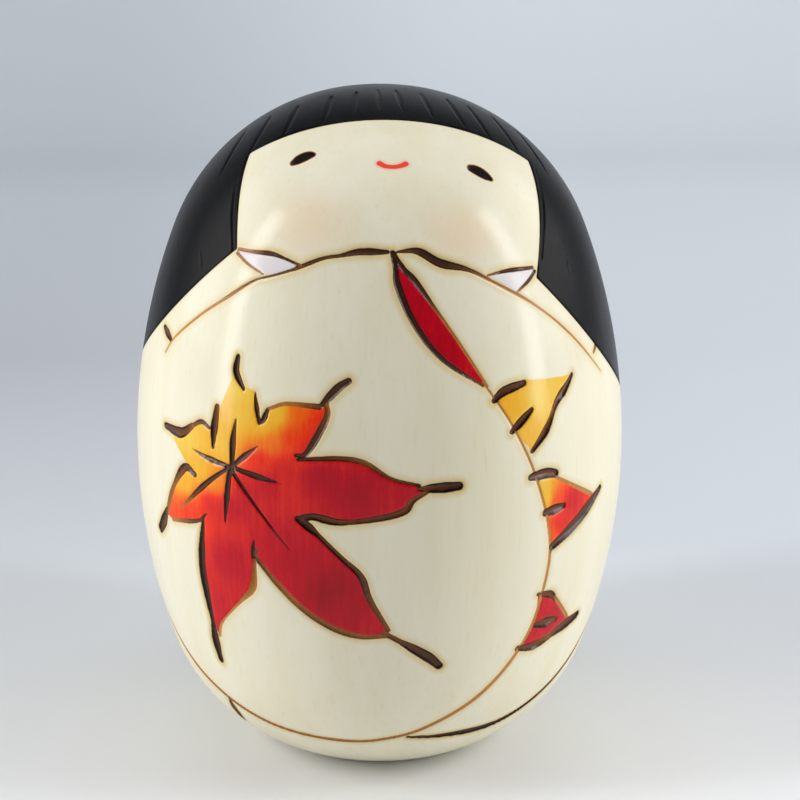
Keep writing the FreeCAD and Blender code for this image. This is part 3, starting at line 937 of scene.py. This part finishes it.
@dataclass
class Readings:
    """What the drawing says at every corner of the skin, and how deep the tools cut there."""

    skin: Skin
    pen_depth: Tuple[float, float] = (0.12, 0.42)
    strand_depth: float = 0.14
    side_groove_depth: float = 0.22
    side_groove_half: float = 0.3
    edge_crease: float = 0.14
    edge_crease_half: float = 0.3
    least_half: float = 0.05

    def __post_init__(self) -> None:
        """Reads the lines, washes and hair edge once for all corners."""
        skin, drawing = self.skin, self.skin.drawing
        place = skin.place
        outside = skin.row >= skin.egg.rows[3]
        pens, eyes = nearest(place, drawing.pens, drawing.reach), nearest(place, drawing.eyes, drawing.reach)
        strands = nearest(place, drawing.strands, drawing.reach)
        hair = skin.gap > 0.0
        pen_cut = self.groove(pens) * np.clip(self.pen_depth[0] + 0.42 * pens.half, 0.0, self.pen_depth[1])
        pressure = 0.35 + 0.65 * np.clip(pens.burn * 1.6, 0.0, 1.0)
        wood_depth = np.maximum(pen_cut, 0.3 * self.groove(eyes)) * pressure
        centre = 0.3 + 0.35 * ease(place[:, 2], 75.5, 82.0)
        from_centre = (drawing.hair_line.side_gap(place) - centre) / self.side_groove_half
        side = np.clip(1.0 - from_centre**2, 0.0, 1.0)
        window = ease(place[:, 2], 74.4, 75.6) * (1.0 - ease(place[:, 2], 81.0, 86.0))
        window *= place[:, 1] < drawing.side_rearmost
        combed = np.maximum(self.strand_depth * self.groove(strands), self.side_groove_depth * side * window)
        crease = self.edge_crease * np.clip(1.0 - np.abs(skin.gap) / self.edge_crease_half, 0.0, 1.0) ** 2
        self.depth = np.where(outside, np.maximum(np.where(hair, combed, wood_depth), crease), 0.0)
        self.fields: Dict[str, Array] = {
            "ink": pens.edge,
            "burn": pens.burn,
            "core": self.within(pens),
            "eye": eyes.edge,
            "mouth": nearest(place, drawing.mouth, drawing.reach).edge,
            "paint": drawing.wash_gap(place, drawing.washes),
            "white": drawing.wash_gap(place, drawing.whites),
            "tone": drawing.tone(place),
            "hair_gap": np.clip(skin.gap, -drawing.reach, drawing.reach),
        }

    def within(self, reading: Reading) -> Array:
        """How far in from a line's edge each place is: 0 at the edge and outside, 1 on its middle."""
        return np.clip(-reading.edge / np.maximum(reading.half, self.least_half), 0.0, 1.0)

    def groove(self, reading: Reading) -> Array:
        """A round-bottomed groove's section: sin(pi / 2 * how far in from the edge) to the power 0.8."""
        return np.sin(0.5 * math.pi * self.within(reading)) ** 0.8


def packed(loops: Sequence[Tuple[Array, Array]]) -> Tuple[Array, Array]:
    """Several sets of loops as one list of corners and the place where each loop starts."""
    corners = np.concatenate([loop for loop, _ in loops])
    starts: List[Array] = []
    offset = 0
    for loop, owner in loops:
        starts.append(offset + np.flatnonzero(np.concatenate([[True], owner[1:] != owner[:-1]])))
        offset += len(loop)
    return corners, np.concatenate(starts)


def reversed_loops(loops: Tuple[Array, Array]) -> Tuple[Array, Array]:
    """Loops walked the other way round, so that their faces look the other way."""
    return loops[0][::-1], loops[1][::-1]


def make_mesh(
    name: str, places: Array, corners: Array, starts: Array, fields: Dict[str, Array], sharp: float = 40.0
) -> bpy.types.Object:
    """A mesh object at the origin.

    Args:
        name: the piece's name.
        places: (n, 3) corners in millimetres.
        corners: every face's corners in turn.
        starts: where each face starts in that list.
        fields: a value per corner for each named attribute.
        sharp: the turn between faces, in degrees, above which an edge is sharp.

    Returns:
        The object, smooth but for its sharp edges, with the corners that no face uses dropped.
    """
    used, renumbered = np.unique(corners, return_inverse=True)
    mesh = bpy.data.meshes.new(name)
    mesh.vertices.add(len(used))
    mesh.vertices.foreach_set("co", (places[used] * MM).astype(np.float32).ravel())
    mesh.loops.add(len(corners))
    mesh.loops.foreach_set("vertex_index", renumbered.astype(np.int32))
    mesh.polygons.add(len(starts))
    mesh.polygons.foreach_set("loop_start", starts.astype(np.int32))
    mesh.polygons.foreach_set("use_smooth", np.ones(len(starts), bool))
    mesh.update(calc_edges=True)
    for label, values in fields.items():
        attribute = mesh.attributes.new(label, "FLOAT", "POINT")
        attribute.data.foreach_set("value", values[used].astype(np.float32))
    mesh.set_sharp_from_angle(angle=math.radians(sharp))
    if mesh.validate():
        LOG.warning("%s had faces that Blender repaired", name)
    piece = bpy.data.objects.new(name, mesh)
    bpy.context.scene.collection.objects.link(piece)
    return piece


class Number:
    """A number on its way through a shader. Each operator adds one Math node."""

    def __init__(self, shader: "Shader", socket: bpy.types.NodeSocket) -> None:
        """Holds the socket that the number comes out of."""
        self.shader = shader
        self.socket = socket

    def math(self, operation: str, first: "Amount", second: "Amount" = 0.0) -> "Number":
        """The Math node's result for two amounts."""
        node = self.shader.node("ShaderNodeMath", {"operation": operation}, {0: first, 1: second})
        return Number(self.shader, node.outputs[0])

    def __add__(self, other: "Amount") -> "Number":
        """Self plus other."""
        return self.math("ADD", self, other)

    def __radd__(self, other: "Amount") -> "Number":
        """Other plus self."""
        return self.math("ADD", other, self)

    def __sub__(self, other: "Amount") -> "Number":
        """Self less other."""
        return self.math("SUBTRACT", self, other)

    def __rsub__(self, other: "Amount") -> "Number":
        """Other less self."""
        return self.math("SUBTRACT", other, self)

    def __mul__(self, other: "Amount") -> "Number":
        """Self times other."""
        return self.math("MULTIPLY", self, other)

    def __rmul__(self, other: "Amount") -> "Number":
        """Other times self."""
        return self.math("MULTIPLY", other, self)

    def ease(self, low: float, high: float) -> "Number":
        """Rises smoothly from 0 at low to 1 at high, or falls if low is the greater."""
        node = self.shader.node(
            "ShaderNodeMapRange",
            {"interpolation_type": "SMOOTHSTEP"},
            {"Value": self, "From Min": min(low, high), "From Max": max(low, high)},
        )
        rise = Number(self.shader, node.outputs["Result"])
        return rise if low < high else 1.0 - rise


Amount = Union[Number, float]


class Shader:
    """A material under construction."""

    def __init__(self, name: str) -> None:
        """Starts an empty material with an output node."""
        self.material = bpy.data.materials.new(name)
        self.material.use_nodes = True
        self.tree = self.material.node_tree
        self.tree.nodes.clear()
        self.output = self.tree.nodes.new("ShaderNodeOutputMaterial")

    def node(
        self, kind: str, settings: Dict[str, object], inputs: Dict[Union[int, str], object]
    ) -> bpy.types.Node:
        """Adds a node.

        Args:
            kind: its type.
            settings: its properties; "stops" gives a ramp's (position, colour) pairs.
            inputs: what each input socket holds or is linked to.

        Returns:
            The node.
        """
        node = self.tree.nodes.new(kind)
        for label, setting in settings.items():
            if label == "stops":
                self.set_stops(node.color_ramp, setting)
            else:
                setattr(node, label, setting)
        for label, value in inputs.items():
            socket = getattr(value, "socket", value)
            if isinstance(socket, bpy.types.NodeSocket):
                self.tree.links.new(socket, node.inputs[label])
            else:
                node.inputs[label].default_value = socket
        return node

    @staticmethod
    def set_stops(ramp: bpy.types.ColorRamp, stops: Sequence[Tuple[float, Colour]]) -> None:
        """Gives a ramp its stops."""
        for _ in stops[2:]:
            ramp.elements.new(0.5)
        for element, (position, colour) in zip(ramp.elements, stops):
            element.position = position
            element.color = colour

    def field(self, name: str) -> Number:
        """A value painted on the mesh."""
        node = self.node("ShaderNodeAttribute", {"attribute_name": name, "attribute_type": "GEOMETRY"}, {})
        return Number(self, node.outputs["Fac"])

    def grain(self, scale: Place, detail: float = 3.0, roughness: float = 0.55) -> Number:
        """Noise from 0 to 1 fixed to the piece.

        Args:
            scale: how many swings a millimetre has along x, y and z.
            detail, roughness: how much finer noise rides on it.

        Returns:
            The noise.
        """
        place = self.node("ShaderNodeTexCoord", {}, {}).outputs["Object"]
        scaled = self.node("ShaderNodeMapping", {}, {"Vector": place, "Scale": tuple(k / MM for k in scale)})
        settings = {"Vector": scaled.outputs[0], "Scale": 1.0, "Detail": detail, "Roughness": roughness}
        return Number(self, self.node("ShaderNodeTexNoise", {}, settings).outputs["Fac"])

    def along(self, axis: str) -> Number:
        """The place along the X, Y or Z axis, in millimetres."""
        place = self.node("ShaderNodeTexCoord", {}, {}).outputs["Object"]
        split = self.node("ShaderNodeSeparateXYZ", {}, {0: place})
        return Number(self, split.outputs[axis]) * (1.0 / MM)

    def near(self, spot: Array, size: Tuple[float, float]) -> Number:
        """1 at a spot, falling smoothly to 0 at size[0] millimetres across and size[1] up from it."""
        place = self.node("ShaderNodeTexCoord", {}, {}).outputs["Object"]
        scale = (1.0 / (size[0] * MM), 1.0 / (size[0] * MM), 1.0 / (size[1] * MM))
        shift = tuple(-float(spot[k]) * MM * scale[k] for k in range(3))
        moved = self.node("ShaderNodeMapping", {}, {"Vector": place, "Scale": scale, "Location": shift})
        away = self.node("ShaderNodeVectorMath", {"operation": "LENGTH"}, {0: moved.outputs[0]})
        return Number(self, away.outputs["Value"]).ease(1.0, 0.0)

    def mix(self, amount: Amount, first: object, second: object, blend: str = "MIX") -> bpy.types.NodeSocket:
        """Two colours mixed, first at 0 and second at 1."""
        settings = {"data_type": "RGBA", "blend_type": blend, "clamp_factor": True}
        node = self.node("ShaderNodeMix", settings, {0: amount, 6: first, 7: second})
        return node.outputs[2]

    def ramp(self, value: Amount, stops: Sequence[Tuple[float, Colour]]) -> bpy.types.NodeSocket:
        """A colour read from stops."""
        return self.node("ShaderNodeValToRGB", {"stops": stops}, {0: value}).outputs["Color"]

    def bump(self, height: Amount, distance: float, strength: float) -> bpy.types.NodeSocket:
        """A normal that feels a height of 0 to 1, distance millimetres tall."""
        inputs = {"Height": height, "Distance": distance * MM, "Strength": strength}
        return self.node("ShaderNodeBump", {}, inputs).outputs["Normal"]

    def finish(self, sockets: Dict[str, object]) -> bpy.types.Material:
        """Adds the surface and returns the material."""
        surface = self.node("ShaderNodeBsdfPrincipled", {}, sockets)
        self.tree.links.new(surface.outputs[0], self.output.inputs["Surface"])
        return self.material


@dataclass(frozen=True)
class PaintedWood:
    """Pale turned wood under clear lacquer, with pen burns, leaf colours, blush and the face's paint."""

    name: str = "turned_wood"
    pale: Colour = tint(242, 236, 211)
    deep: Colour = tint(234, 225, 190)
    grain_line: Colour = tint(214, 202, 160)
    halo: Colour = tint(222, 190, 100)
    burn_stops: Ramp = (
        (0.0, tint(216, 160, 78)),
        (0.3, tint(172, 110, 42)),
        (0.6, tint(112, 64, 30)),
        (1.0, tint(78, 42, 25)),
    )
    char: Colour = tint(20, 8, 5)
    tone_stops: Ramp = (
        (0.0, tint(244, 208, 84)),
        (0.2, tint(246, 180, 44)),
        (0.42, tint(248, 124, 24)),
        (0.62, tint(246, 52, 20)),
        (0.82, tint(196, 4, 30)),
        (1.0, tint(142, 0, 18)),
    )
    white: Colour = tint(232, 224, 222)
    eye_black: Colour = tint(22, 14, 12)
    eye_rim: Colour = tint(170, 96, 40)
    lips: Colour = tint(245, 62, 26)
    blush: Colour = tint(240, 196, 150)
    blush_spots: Tuple[Point, ...] = ((-23, 81), (19, 79.5))
    blush_size: Tuple[float, float] = (8.0, 6.5)
    blush_strength: float = 0.36
    fibre_scale: Place = (1.6, 1.6, 0.09)
    band_scale: Place = (0.16, 0.16, 0.012)
    fleck_scale: Place = (2.6, 2.6, 1.1)
    roughness: float = 0.34
    specular: float = 0.06
    coat: float = 0.33
    coat_roughness: float = 0.15

    def material(self, egg: Egg) -> bpy.types.Material:
        """Builds the material, from the wood up to the eyes."""
        s = Shader(self.name)
        fibre, band = s.grain(self.fibre_scale, 5.0, 0.6), s.grain(self.band_scale, 3.0)
        fleck = s.grain(self.fleck_scale, 4.0, 0.65)
        wood = s.mix(band.ease(0.3, 0.75) * 0.6, self.pale, self.deep)
        wood = s.mix(fibre.ease(0.5, 0.9) * 0.35, wood, self.grain_line)
        wood = s.mix(s.field("hair_gap").ease(-0.9, 0.0) * 0.25, wood, self.halo)
        for spot in self.blush_spots:
            place = egg.on_skin(np.array([spot], float))[0]
            wood = s.mix(s.near(place, self.blush_size) * self.blush_strength, wood, self.blush)
        ink, burn, core = s.field("ink"), s.field("burn"), s.field("core")
        wobble = (fleck - 0.5) * 0.22
        scorch = (ink + wobble).ease(1.1, -0.1) * (0.25 + 0.55 * burn)
        wood = s.mix(scorch, wood, self.halo)
        streak = (fibre - 0.5) * 0.2 + (fleck - 0.5) * 0.1
        paint = s.ramp(s.field("tone") + streak, self.tone_stops)
        paint = s.mix(fibre.ease(0.6, 0.95) * 0.12, paint, self.char, "MULTIPLY")
        colour = s.mix((s.field("paint") + wobble * 0.8).ease(0.14, -0.14), wood, paint)
        colour = s.mix((s.field("white") + wobble * 0.5).ease(0.12, -0.12), colour, self.white)
        stroke = s.ramp(burn + (fleck - 0.5) * 0.3, self.burn_stops)
        edge = (core.ease(0.75, 0.15) + (fibre - 0.5) * 1.2 + (fleck - 0.5) * 0.6) * burn.ease(0.1, 0.9)
        stroke = s.mix(edge.ease(0.1, 0.8), stroke, self.char)
        colour = s.mix((ink + wobble * 0.35).ease(0.06, -0.07), colour, stroke)
        eye = s.field("eye")
        colour = s.mix(eye.ease(0.22, 0.06), colour, self.eye_rim)
        colour = s.mix(eye.ease(0.06, -0.04), colour, self.eye_black)
        mouth = s.field("mouth")
        colour = s.mix(mouth.ease(0.5, 0.0) * 0.25, colour, self.lips)
        colour = s.mix((mouth + wobble * 0.2).ease(0.06, -0.04), colour, self.lips)
        relief = fibre * 0.6 + fleck * 0.4
        charred = burn * ink.ease(0.1, -0.1)
        roughness = self.roughness + (band - 0.5) * 0.08 + (fleck - 0.5) * 0.08 + charred * 0.08
        return s.finish(
            {
                "Base Color": colour,
                "Roughness": roughness,
                "Specular IOR Level": self.specular,
                "Coat Weight": self.coat,
                "Coat Roughness": self.coat_roughness,
                "Normal": s.bump(relief, 0.03, 0.35),
            }
        )


@dataclass(frozen=True)
class BlackHair:
    """Black lacquer with a satin sheen over fine brush and grain marks, and lighter bluish specks that are
    partly painted sheen.
    """

    name: str = "black_lacquer"
    black: Colour = tint(4, 4, 5)
    # Lighter bluish black for specks and fibre marks: partly random tone, partly painted sheen speckle.
    sheen_speck: Colour = tint(13, 14, 18)
    roughness: float = 0.33
    specular: float = 0.1

    def material(self) -> bpy.types.Material:
        """Builds the material: black with lighter bluish specks, partly random tone and partly painted sheen
        speckle, in smoother and rougher patches.
        """
        s = Shader(self.name)
        speck, patch = s.grain((3.2, 3.2, 2.6), 2.0, 0.7), s.grain((0.25, 0.25, 0.06), 3.0)
        fibre, combed = s.grain((1.8, 1.8, 0.12), 4.0, 0.6), s.grain((0.9, 0.07, 0.2), 3.0, 0.5)
        # Painted sheen speckle, partly random tone: lighter bluish specks and fibres mixed into the black
        # everywhere.
        colour = s.mix(speck.ease(0.55, 0.8) * 0.5 + fibre.ease(0.5, 0.9) * 0.2, self.black, self.sheen_speck)
        return s.finish(
            {
                "Base Color": colour,
                "Roughness": self.roughness + (patch - 0.5) * 0.14 + (speck - 0.5) * 0.2,
                "Specular IOR Level": self.specular,
                "Normal": s.bump(speck * 0.55 + fibre * 0.15 + combed * 0.5, 0.08, 0.6),
            }
        )


@dataclass(frozen=True)
class EndGrain:
    """Bare end grain, with growth rings and pores."""

    name: str = "plug_wood"
    early: Colour = tint(216, 192, 146)
    late: Colour = tint(176, 142, 92)
    pith: Place = (0.011, 0.006, 0.0)
    rings_per_mm: float = 5.2
    roughness: float = 0.62

    def material(self) -> bpy.types.Material:
        """Builds the material: rings about an axis off to one side, crossed by pores."""
        s = Shader(self.name)
        warp = s.grain((0.12, 0.12, 0.01), 2.0)
        place = s.node("ShaderNodeTexCoord", {}, {}).outputs["Object"]
        flattened = {"Vector": place, "Location": self.pith, "Scale": (1.0, 1.0, 0.02)}
        moved = s.node("ShaderNodeMapping", {}, flattened)
        away = s.node("ShaderNodeVectorMath", {"operation": "LENGTH"}, {0: moved.outputs[0]}).outputs["Value"]
        phase = Number(s, away) * (self.rings_per_mm / MM) + warp * 5.0
        rings = phase.math("SINE", phase)
        pore = s.grain((4.0, 4.0, 0.2), 3.0, 0.7)
        colour = s.mix(rings.ease(-0.3, 1.0) * 0.7, self.early, self.late)
        colour = s.mix(pore.ease(0.58, 0.8) * 0.5, colour, self.late, "MULTIPLY")
        return s.finish(
            {
                "Base Color": colour,
                "Roughness": self.roughness + (pore - 0.5) * 0.2,
                "Normal": s.bump(rings * 0.3 + pore * 0.7, 0.05, 0.5),
            }
        )


@dataclass(frozen=True)
class Paper:
    """Matt background paper whose colour carries painted light and shade, changing from its near line to its
    far line behind the doll.
    """

    name: str = "studio_paper"
    near_line: float = -20.0
    far_line: float = 680.0
    # Painted light and shade: each ramp runs from a painted bright pool at the near line to a painted darker
    # band behind the doll, then lightens again towards the wall. The left ramp is darker, as painted shade.
    left: Ramp = (
        (0.0, tint(232, 233, 234)),
        (0.06, tint(216, 219, 221)),
        (0.12, tint(202, 206, 210)),
        (0.31, tint(186, 190, 197)),
        (0.6, tint(212, 217, 223)),
        (1.0, tint(219, 224, 229)),
    )
    right: Ramp = (
        (0.0, tint(242, 243, 244)),
        (0.06, tint(222, 225, 229)),
        (0.12, tint(212, 217, 222)),
        (0.31, tint(216, 221, 227)),
        (0.6, tint(236, 241, 246)),
        (1.0, tint(242, 247, 251)),
    )

    def material(self) -> bpy.types.Material:
        """Builds the material: painted light and shade, palest at the near line, greyer behind the doll and
        darker to the left.
        """
        s = Shader(self.name)
        tooth = s.grain((0.8, 0.8, 0.8), 3.0)
        behind = (s.along("Y") + -self.near_line) * (1.0 / (self.far_line - self.near_line))
        left, right = s.ramp(behind, self.left), s.ramp(behind, self.right)
        # Painted shade: the darker left ramp takes over towards the left.
        colour = s.mix(s.along("X").ease(-100.0, 100.0), left, right)
        return s.finish({"Base Color": colour, "Roughness": 0.9, "Normal": s.bump(tooth, 0.05, 0.15)})


@dataclass
class TurnedBody:
    """The doll's wooden body: outside skin, hidden seat for the hair, base and spindle hole."""

    skin: Skin
    readings: Readings
    hair_seat: float = 1.2
    finish: PaintedWood = field(default_factory=PaintedWood)

    def shape(self) -> bpy.types.Object:
        """Joins the wood's skin to the seat under the hair, hair_seat deeper, by a wall along its edge."""
        skin, count = self.skin, len(self.skin.row)
        outer = skin.place - self.readings.depth[:, None] * skin.normal
        seat = skin.place - self.hair_seat * skin.normal
        first, second = skin.edge_sides().T
        wall = np.stack([second, first, first + count, second + count], 1).ravel()
        seat_loops = (skin.hair_loops[0] + count, skin.hair_loops[1])
        corners, starts = packed([skin.wood_loops, seat_loops, (wall, np.repeat(np.arange(len(first)), 4))])
        fields = {label: np.concatenate([values, values]) for label, values in self.readings.fields.items()}
        return make_mesh("turned_body", np.concatenate([outer, seat]), corners, starts, fields)

    def dress(self, piece: bpy.types.Object) -> bpy.types.Object:
        """Gives the body its finish and its place in the frame."""
        piece.data.materials.append(self.finish.material(self.skin.egg))
        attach(piece, "root")
        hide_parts("body_block")
        return piece


@dataclass
class Hair:
    """The black bob: a shell let into the wood, with combed grooves."""

    skin: Skin
    readings: Readings
    thickness: float = 1.2
    fit_gap: float = 0.02
    finish: BlackHair = field(default_factory=BlackHair)

    def shape(self) -> bpy.types.Object:
        """Joins the hair's skin to the same cells, thickness deeper and turned in, by a wall at its edge."""
        skin, count = self.skin, len(self.skin.row)
        outer = skin.place - self.readings.depth[:, None] * skin.normal
        under = skin.place - (self.thickness - self.fit_gap) * skin.normal
        first, second = skin.edge_sides().T
        wall = np.stack([first, second, second + count, first + count], 1).ravel()
        inner = reversed_loops((skin.hair_loops[0] + count, skin.hair_loops[1]))
        corners, starts = packed([skin.hair_loops, inner, (wall, np.repeat(np.arange(len(first)), 4))])
        return make_mesh("hair_bob", np.concatenate([outer, under]), corners, starts, {})

    def dress(self, piece: bpy.types.Object) -> bpy.types.Object:
        """Gives the hair its finish and its place in the frame."""
        piece.data.materials.append(self.finish.material())
        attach(piece, "root")
        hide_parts("hair_cap")
        return piece


@dataclass
class Plug:
    """The wooden plug in the spindle hole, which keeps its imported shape."""

    node: bpy.types.Object
    finish: EndGrain = field(default_factory=EndGrain)

    def dress(self) -> bpy.types.Object:
        """Gives every slot of the plug the end-grain finish."""
        material = self.finish.material()
        if not self.node.material_slots:
            self.node.data.materials.append(material)
        for slot in self.node.material_slots:
            slot.material = material
        return self.node


@dataclass(frozen=True)
class Panel:
    """A soft rectangular light: its place, what it faces, its width and height in millimetres, its watts."""

    name: str
    place: Place
    aim: Place
    size: Tuple[float, float]
    watts: float
    colour: Colour

    def hang(self) -> None:
        """Adds the light to the scene."""
        lamp = bpy.data.lights.new(self.name, "AREA")
        lamp.shape = "RECTANGLE"
        lamp.size, lamp.size_y = self.size[0] * MM, self.size[1] * MM
        lamp.energy = self.watts
        lamp.color = self.colour[:3]
        holder = bpy.data.objects.new(self.name, lamp)
        holder.location = [k * MM for k in self.place]
        holder.rotation_euler = self.facing()
        bpy.context.scene.collection.objects.link(holder)

    def facing(self) -> Place:
        """The Euler turn that points an object's -Z at the aim with its +Y kept upwards."""
        way = np.array(self.aim, float) - np.array(self.place, float)
        tilt = math.atan2(-way[2], math.hypot(way[0], way[1]))
        return (math.pi / 2.0 - tilt, 0.0, math.atan2(-way[0], way[1]))


DAYLIGHT, SKYLIGHT = tint(253, 253, 255), tint(250, 252, 255)
CHEST, FOOT = (0, 0, 50), (0, 0, 0)
TALL, BROAD = (90, 560), (500, 500)
PANELS = (
    Panel("left_panel", (-520, -120, 240), CHEST, TALL, 1.7, DAYLIGHT),
    Panel("left_broad", (-620, 60, 320), CHEST, BROAD, 1.88, DAYLIGHT),
    Panel("right_panel", (520, -150, 240), CHEST, TALL, 1.6, DAYLIGHT),
    Panel("right_broad", (620, 60, 320), CHEST, BROAD, 1.98, DAYLIGHT),
    Panel("top_panel", (0, 0, 620), FOOT, (500, 400), 0.95, SKYLIGHT),
)


@dataclass
class Studio:
    """A pale paper sweep, soft lights and the camera."""

    paper: Paper = field(default_factory=Paper)
    front: float = -3200.0
    floor_end: float = 480.0
    bend: float = 200.0
    wall_top: float = 1100.0
    half_width: float = 2600.0
    heading: float = 3.0
    camera_away: float = 253.0
    camera_height: float = 129.7
    camera_pitch: float = 17.59
    lens: float = 81.94
    shift: float = 0.0256
    sky: Colour = tint(246, 250, 255)
    sky_strength: float = 0.12
    bend_steps: int = 24
    across_steps: int = 5

    def sweep(self) -> None:
        """The floor, which bends up behind the doll into a wall: a profile carried sideways."""
        angle = np.linspace(0.0, math.pi / 2.0, self.bend_steps)
        bend = np.stack([self.floor_end + self.bend * np.sin(angle), self.bend * (1.0 - np.cos(angle))], 1)
        top = np.array([(self.floor_end + self.bend, self.wall_top)])
        profile = np.concatenate([[(self.front, 0.0)], bend, top])
        across = np.linspace(-self.half_width, self.half_width, self.across_steps)
        spread = np.broadcast_arrays(across[None, :], profile[:, 0:1], profile[:, 1:2])
        grid = np.stack(spread, -1).reshape(-1, 3)
        rows, columns = np.meshgrid(np.arange(len(profile) - 1), np.arange(len(across) - 1), indexing="ij")
        first = (rows * len(across) + columns).ravel()
        faces = np.stack([first, first + 1, first + len(across) + 1, first + len(across)], 1)
        floor = make_mesh("paper_sweep", grid, faces.ravel(), np.arange(len(faces)) * 4, {})
        floor.data.materials.append(self.paper.material())
        floor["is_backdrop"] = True

    def lights(self) -> None:
        """A tall panel and a broad one on each side, a soft one overhead, and a dim sky."""
        for panel in PANELS:
            panel.hang()
        world = bpy.data.worlds.new("studio_sky")
        world.use_nodes = True
        background = world.node_tree.nodes["Background"]
        background.inputs["Color"].default_value = self.sky
        background.inputs["Strength"].default_value = self.sky_strength
        bpy.context.scene.world = world
        bpy.context.scene.view_settings.view_transform = "Standard"

    def camera(self) -> None:
        """The camera, a little to the doll's right, higher than its crown and looking down at it."""
        lens = bpy.data.cameras.new("studio_camera")
        lens.lens = self.lens
        lens.sensor_width = 36.0
        lens.shift_x = self.shift
        lens.clip_start, lens.clip_end = 0.01, 10.0
        holder = bpy.data.objects.new("studio_camera", lens)
        a, p = math.radians(self.heading), math.radians(self.camera_pitch)
        back = self.camera_away
        holder.location = (-back * math.sin(a) * MM, -back * math.cos(a) * MM, self.camera_height * MM)
        holder.rotation_euler = (math.pi / 2.0 - p, 0.0, -a)
        bpy.context.scene.collection.objects.link(holder)
        bpy.context.scene.camera = holder


def main() -> None:
    """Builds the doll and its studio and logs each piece."""
    logging.basicConfig(level=logging.INFO, format="%(name)s: %(message)s")
    cad_low, cad_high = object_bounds()
    egg = Egg(height=cad_high.z / MM, belly_radius=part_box("body_block")[1].y / MM)
    drawing = Drawing(egg, HairLine())
    skin = Skin(egg, drawing)
    readings = Readings(skin)
    body, hair, plug = TurnedBody(skin, readings), Hair(skin, readings), Plug(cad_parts["base_plug"])
    pieces = [body.dress(body.shape()), hair.dress(hair.shape()), plug.dress()]
    studio = Studio()
    studio.sweep()
    studio.lights()
    studio.camera()
    for piece in pieces:
        LOG.info("%s: %d faces", piece.name, len(piece.data.polygons))


if __name__ == "__main__":
    main()
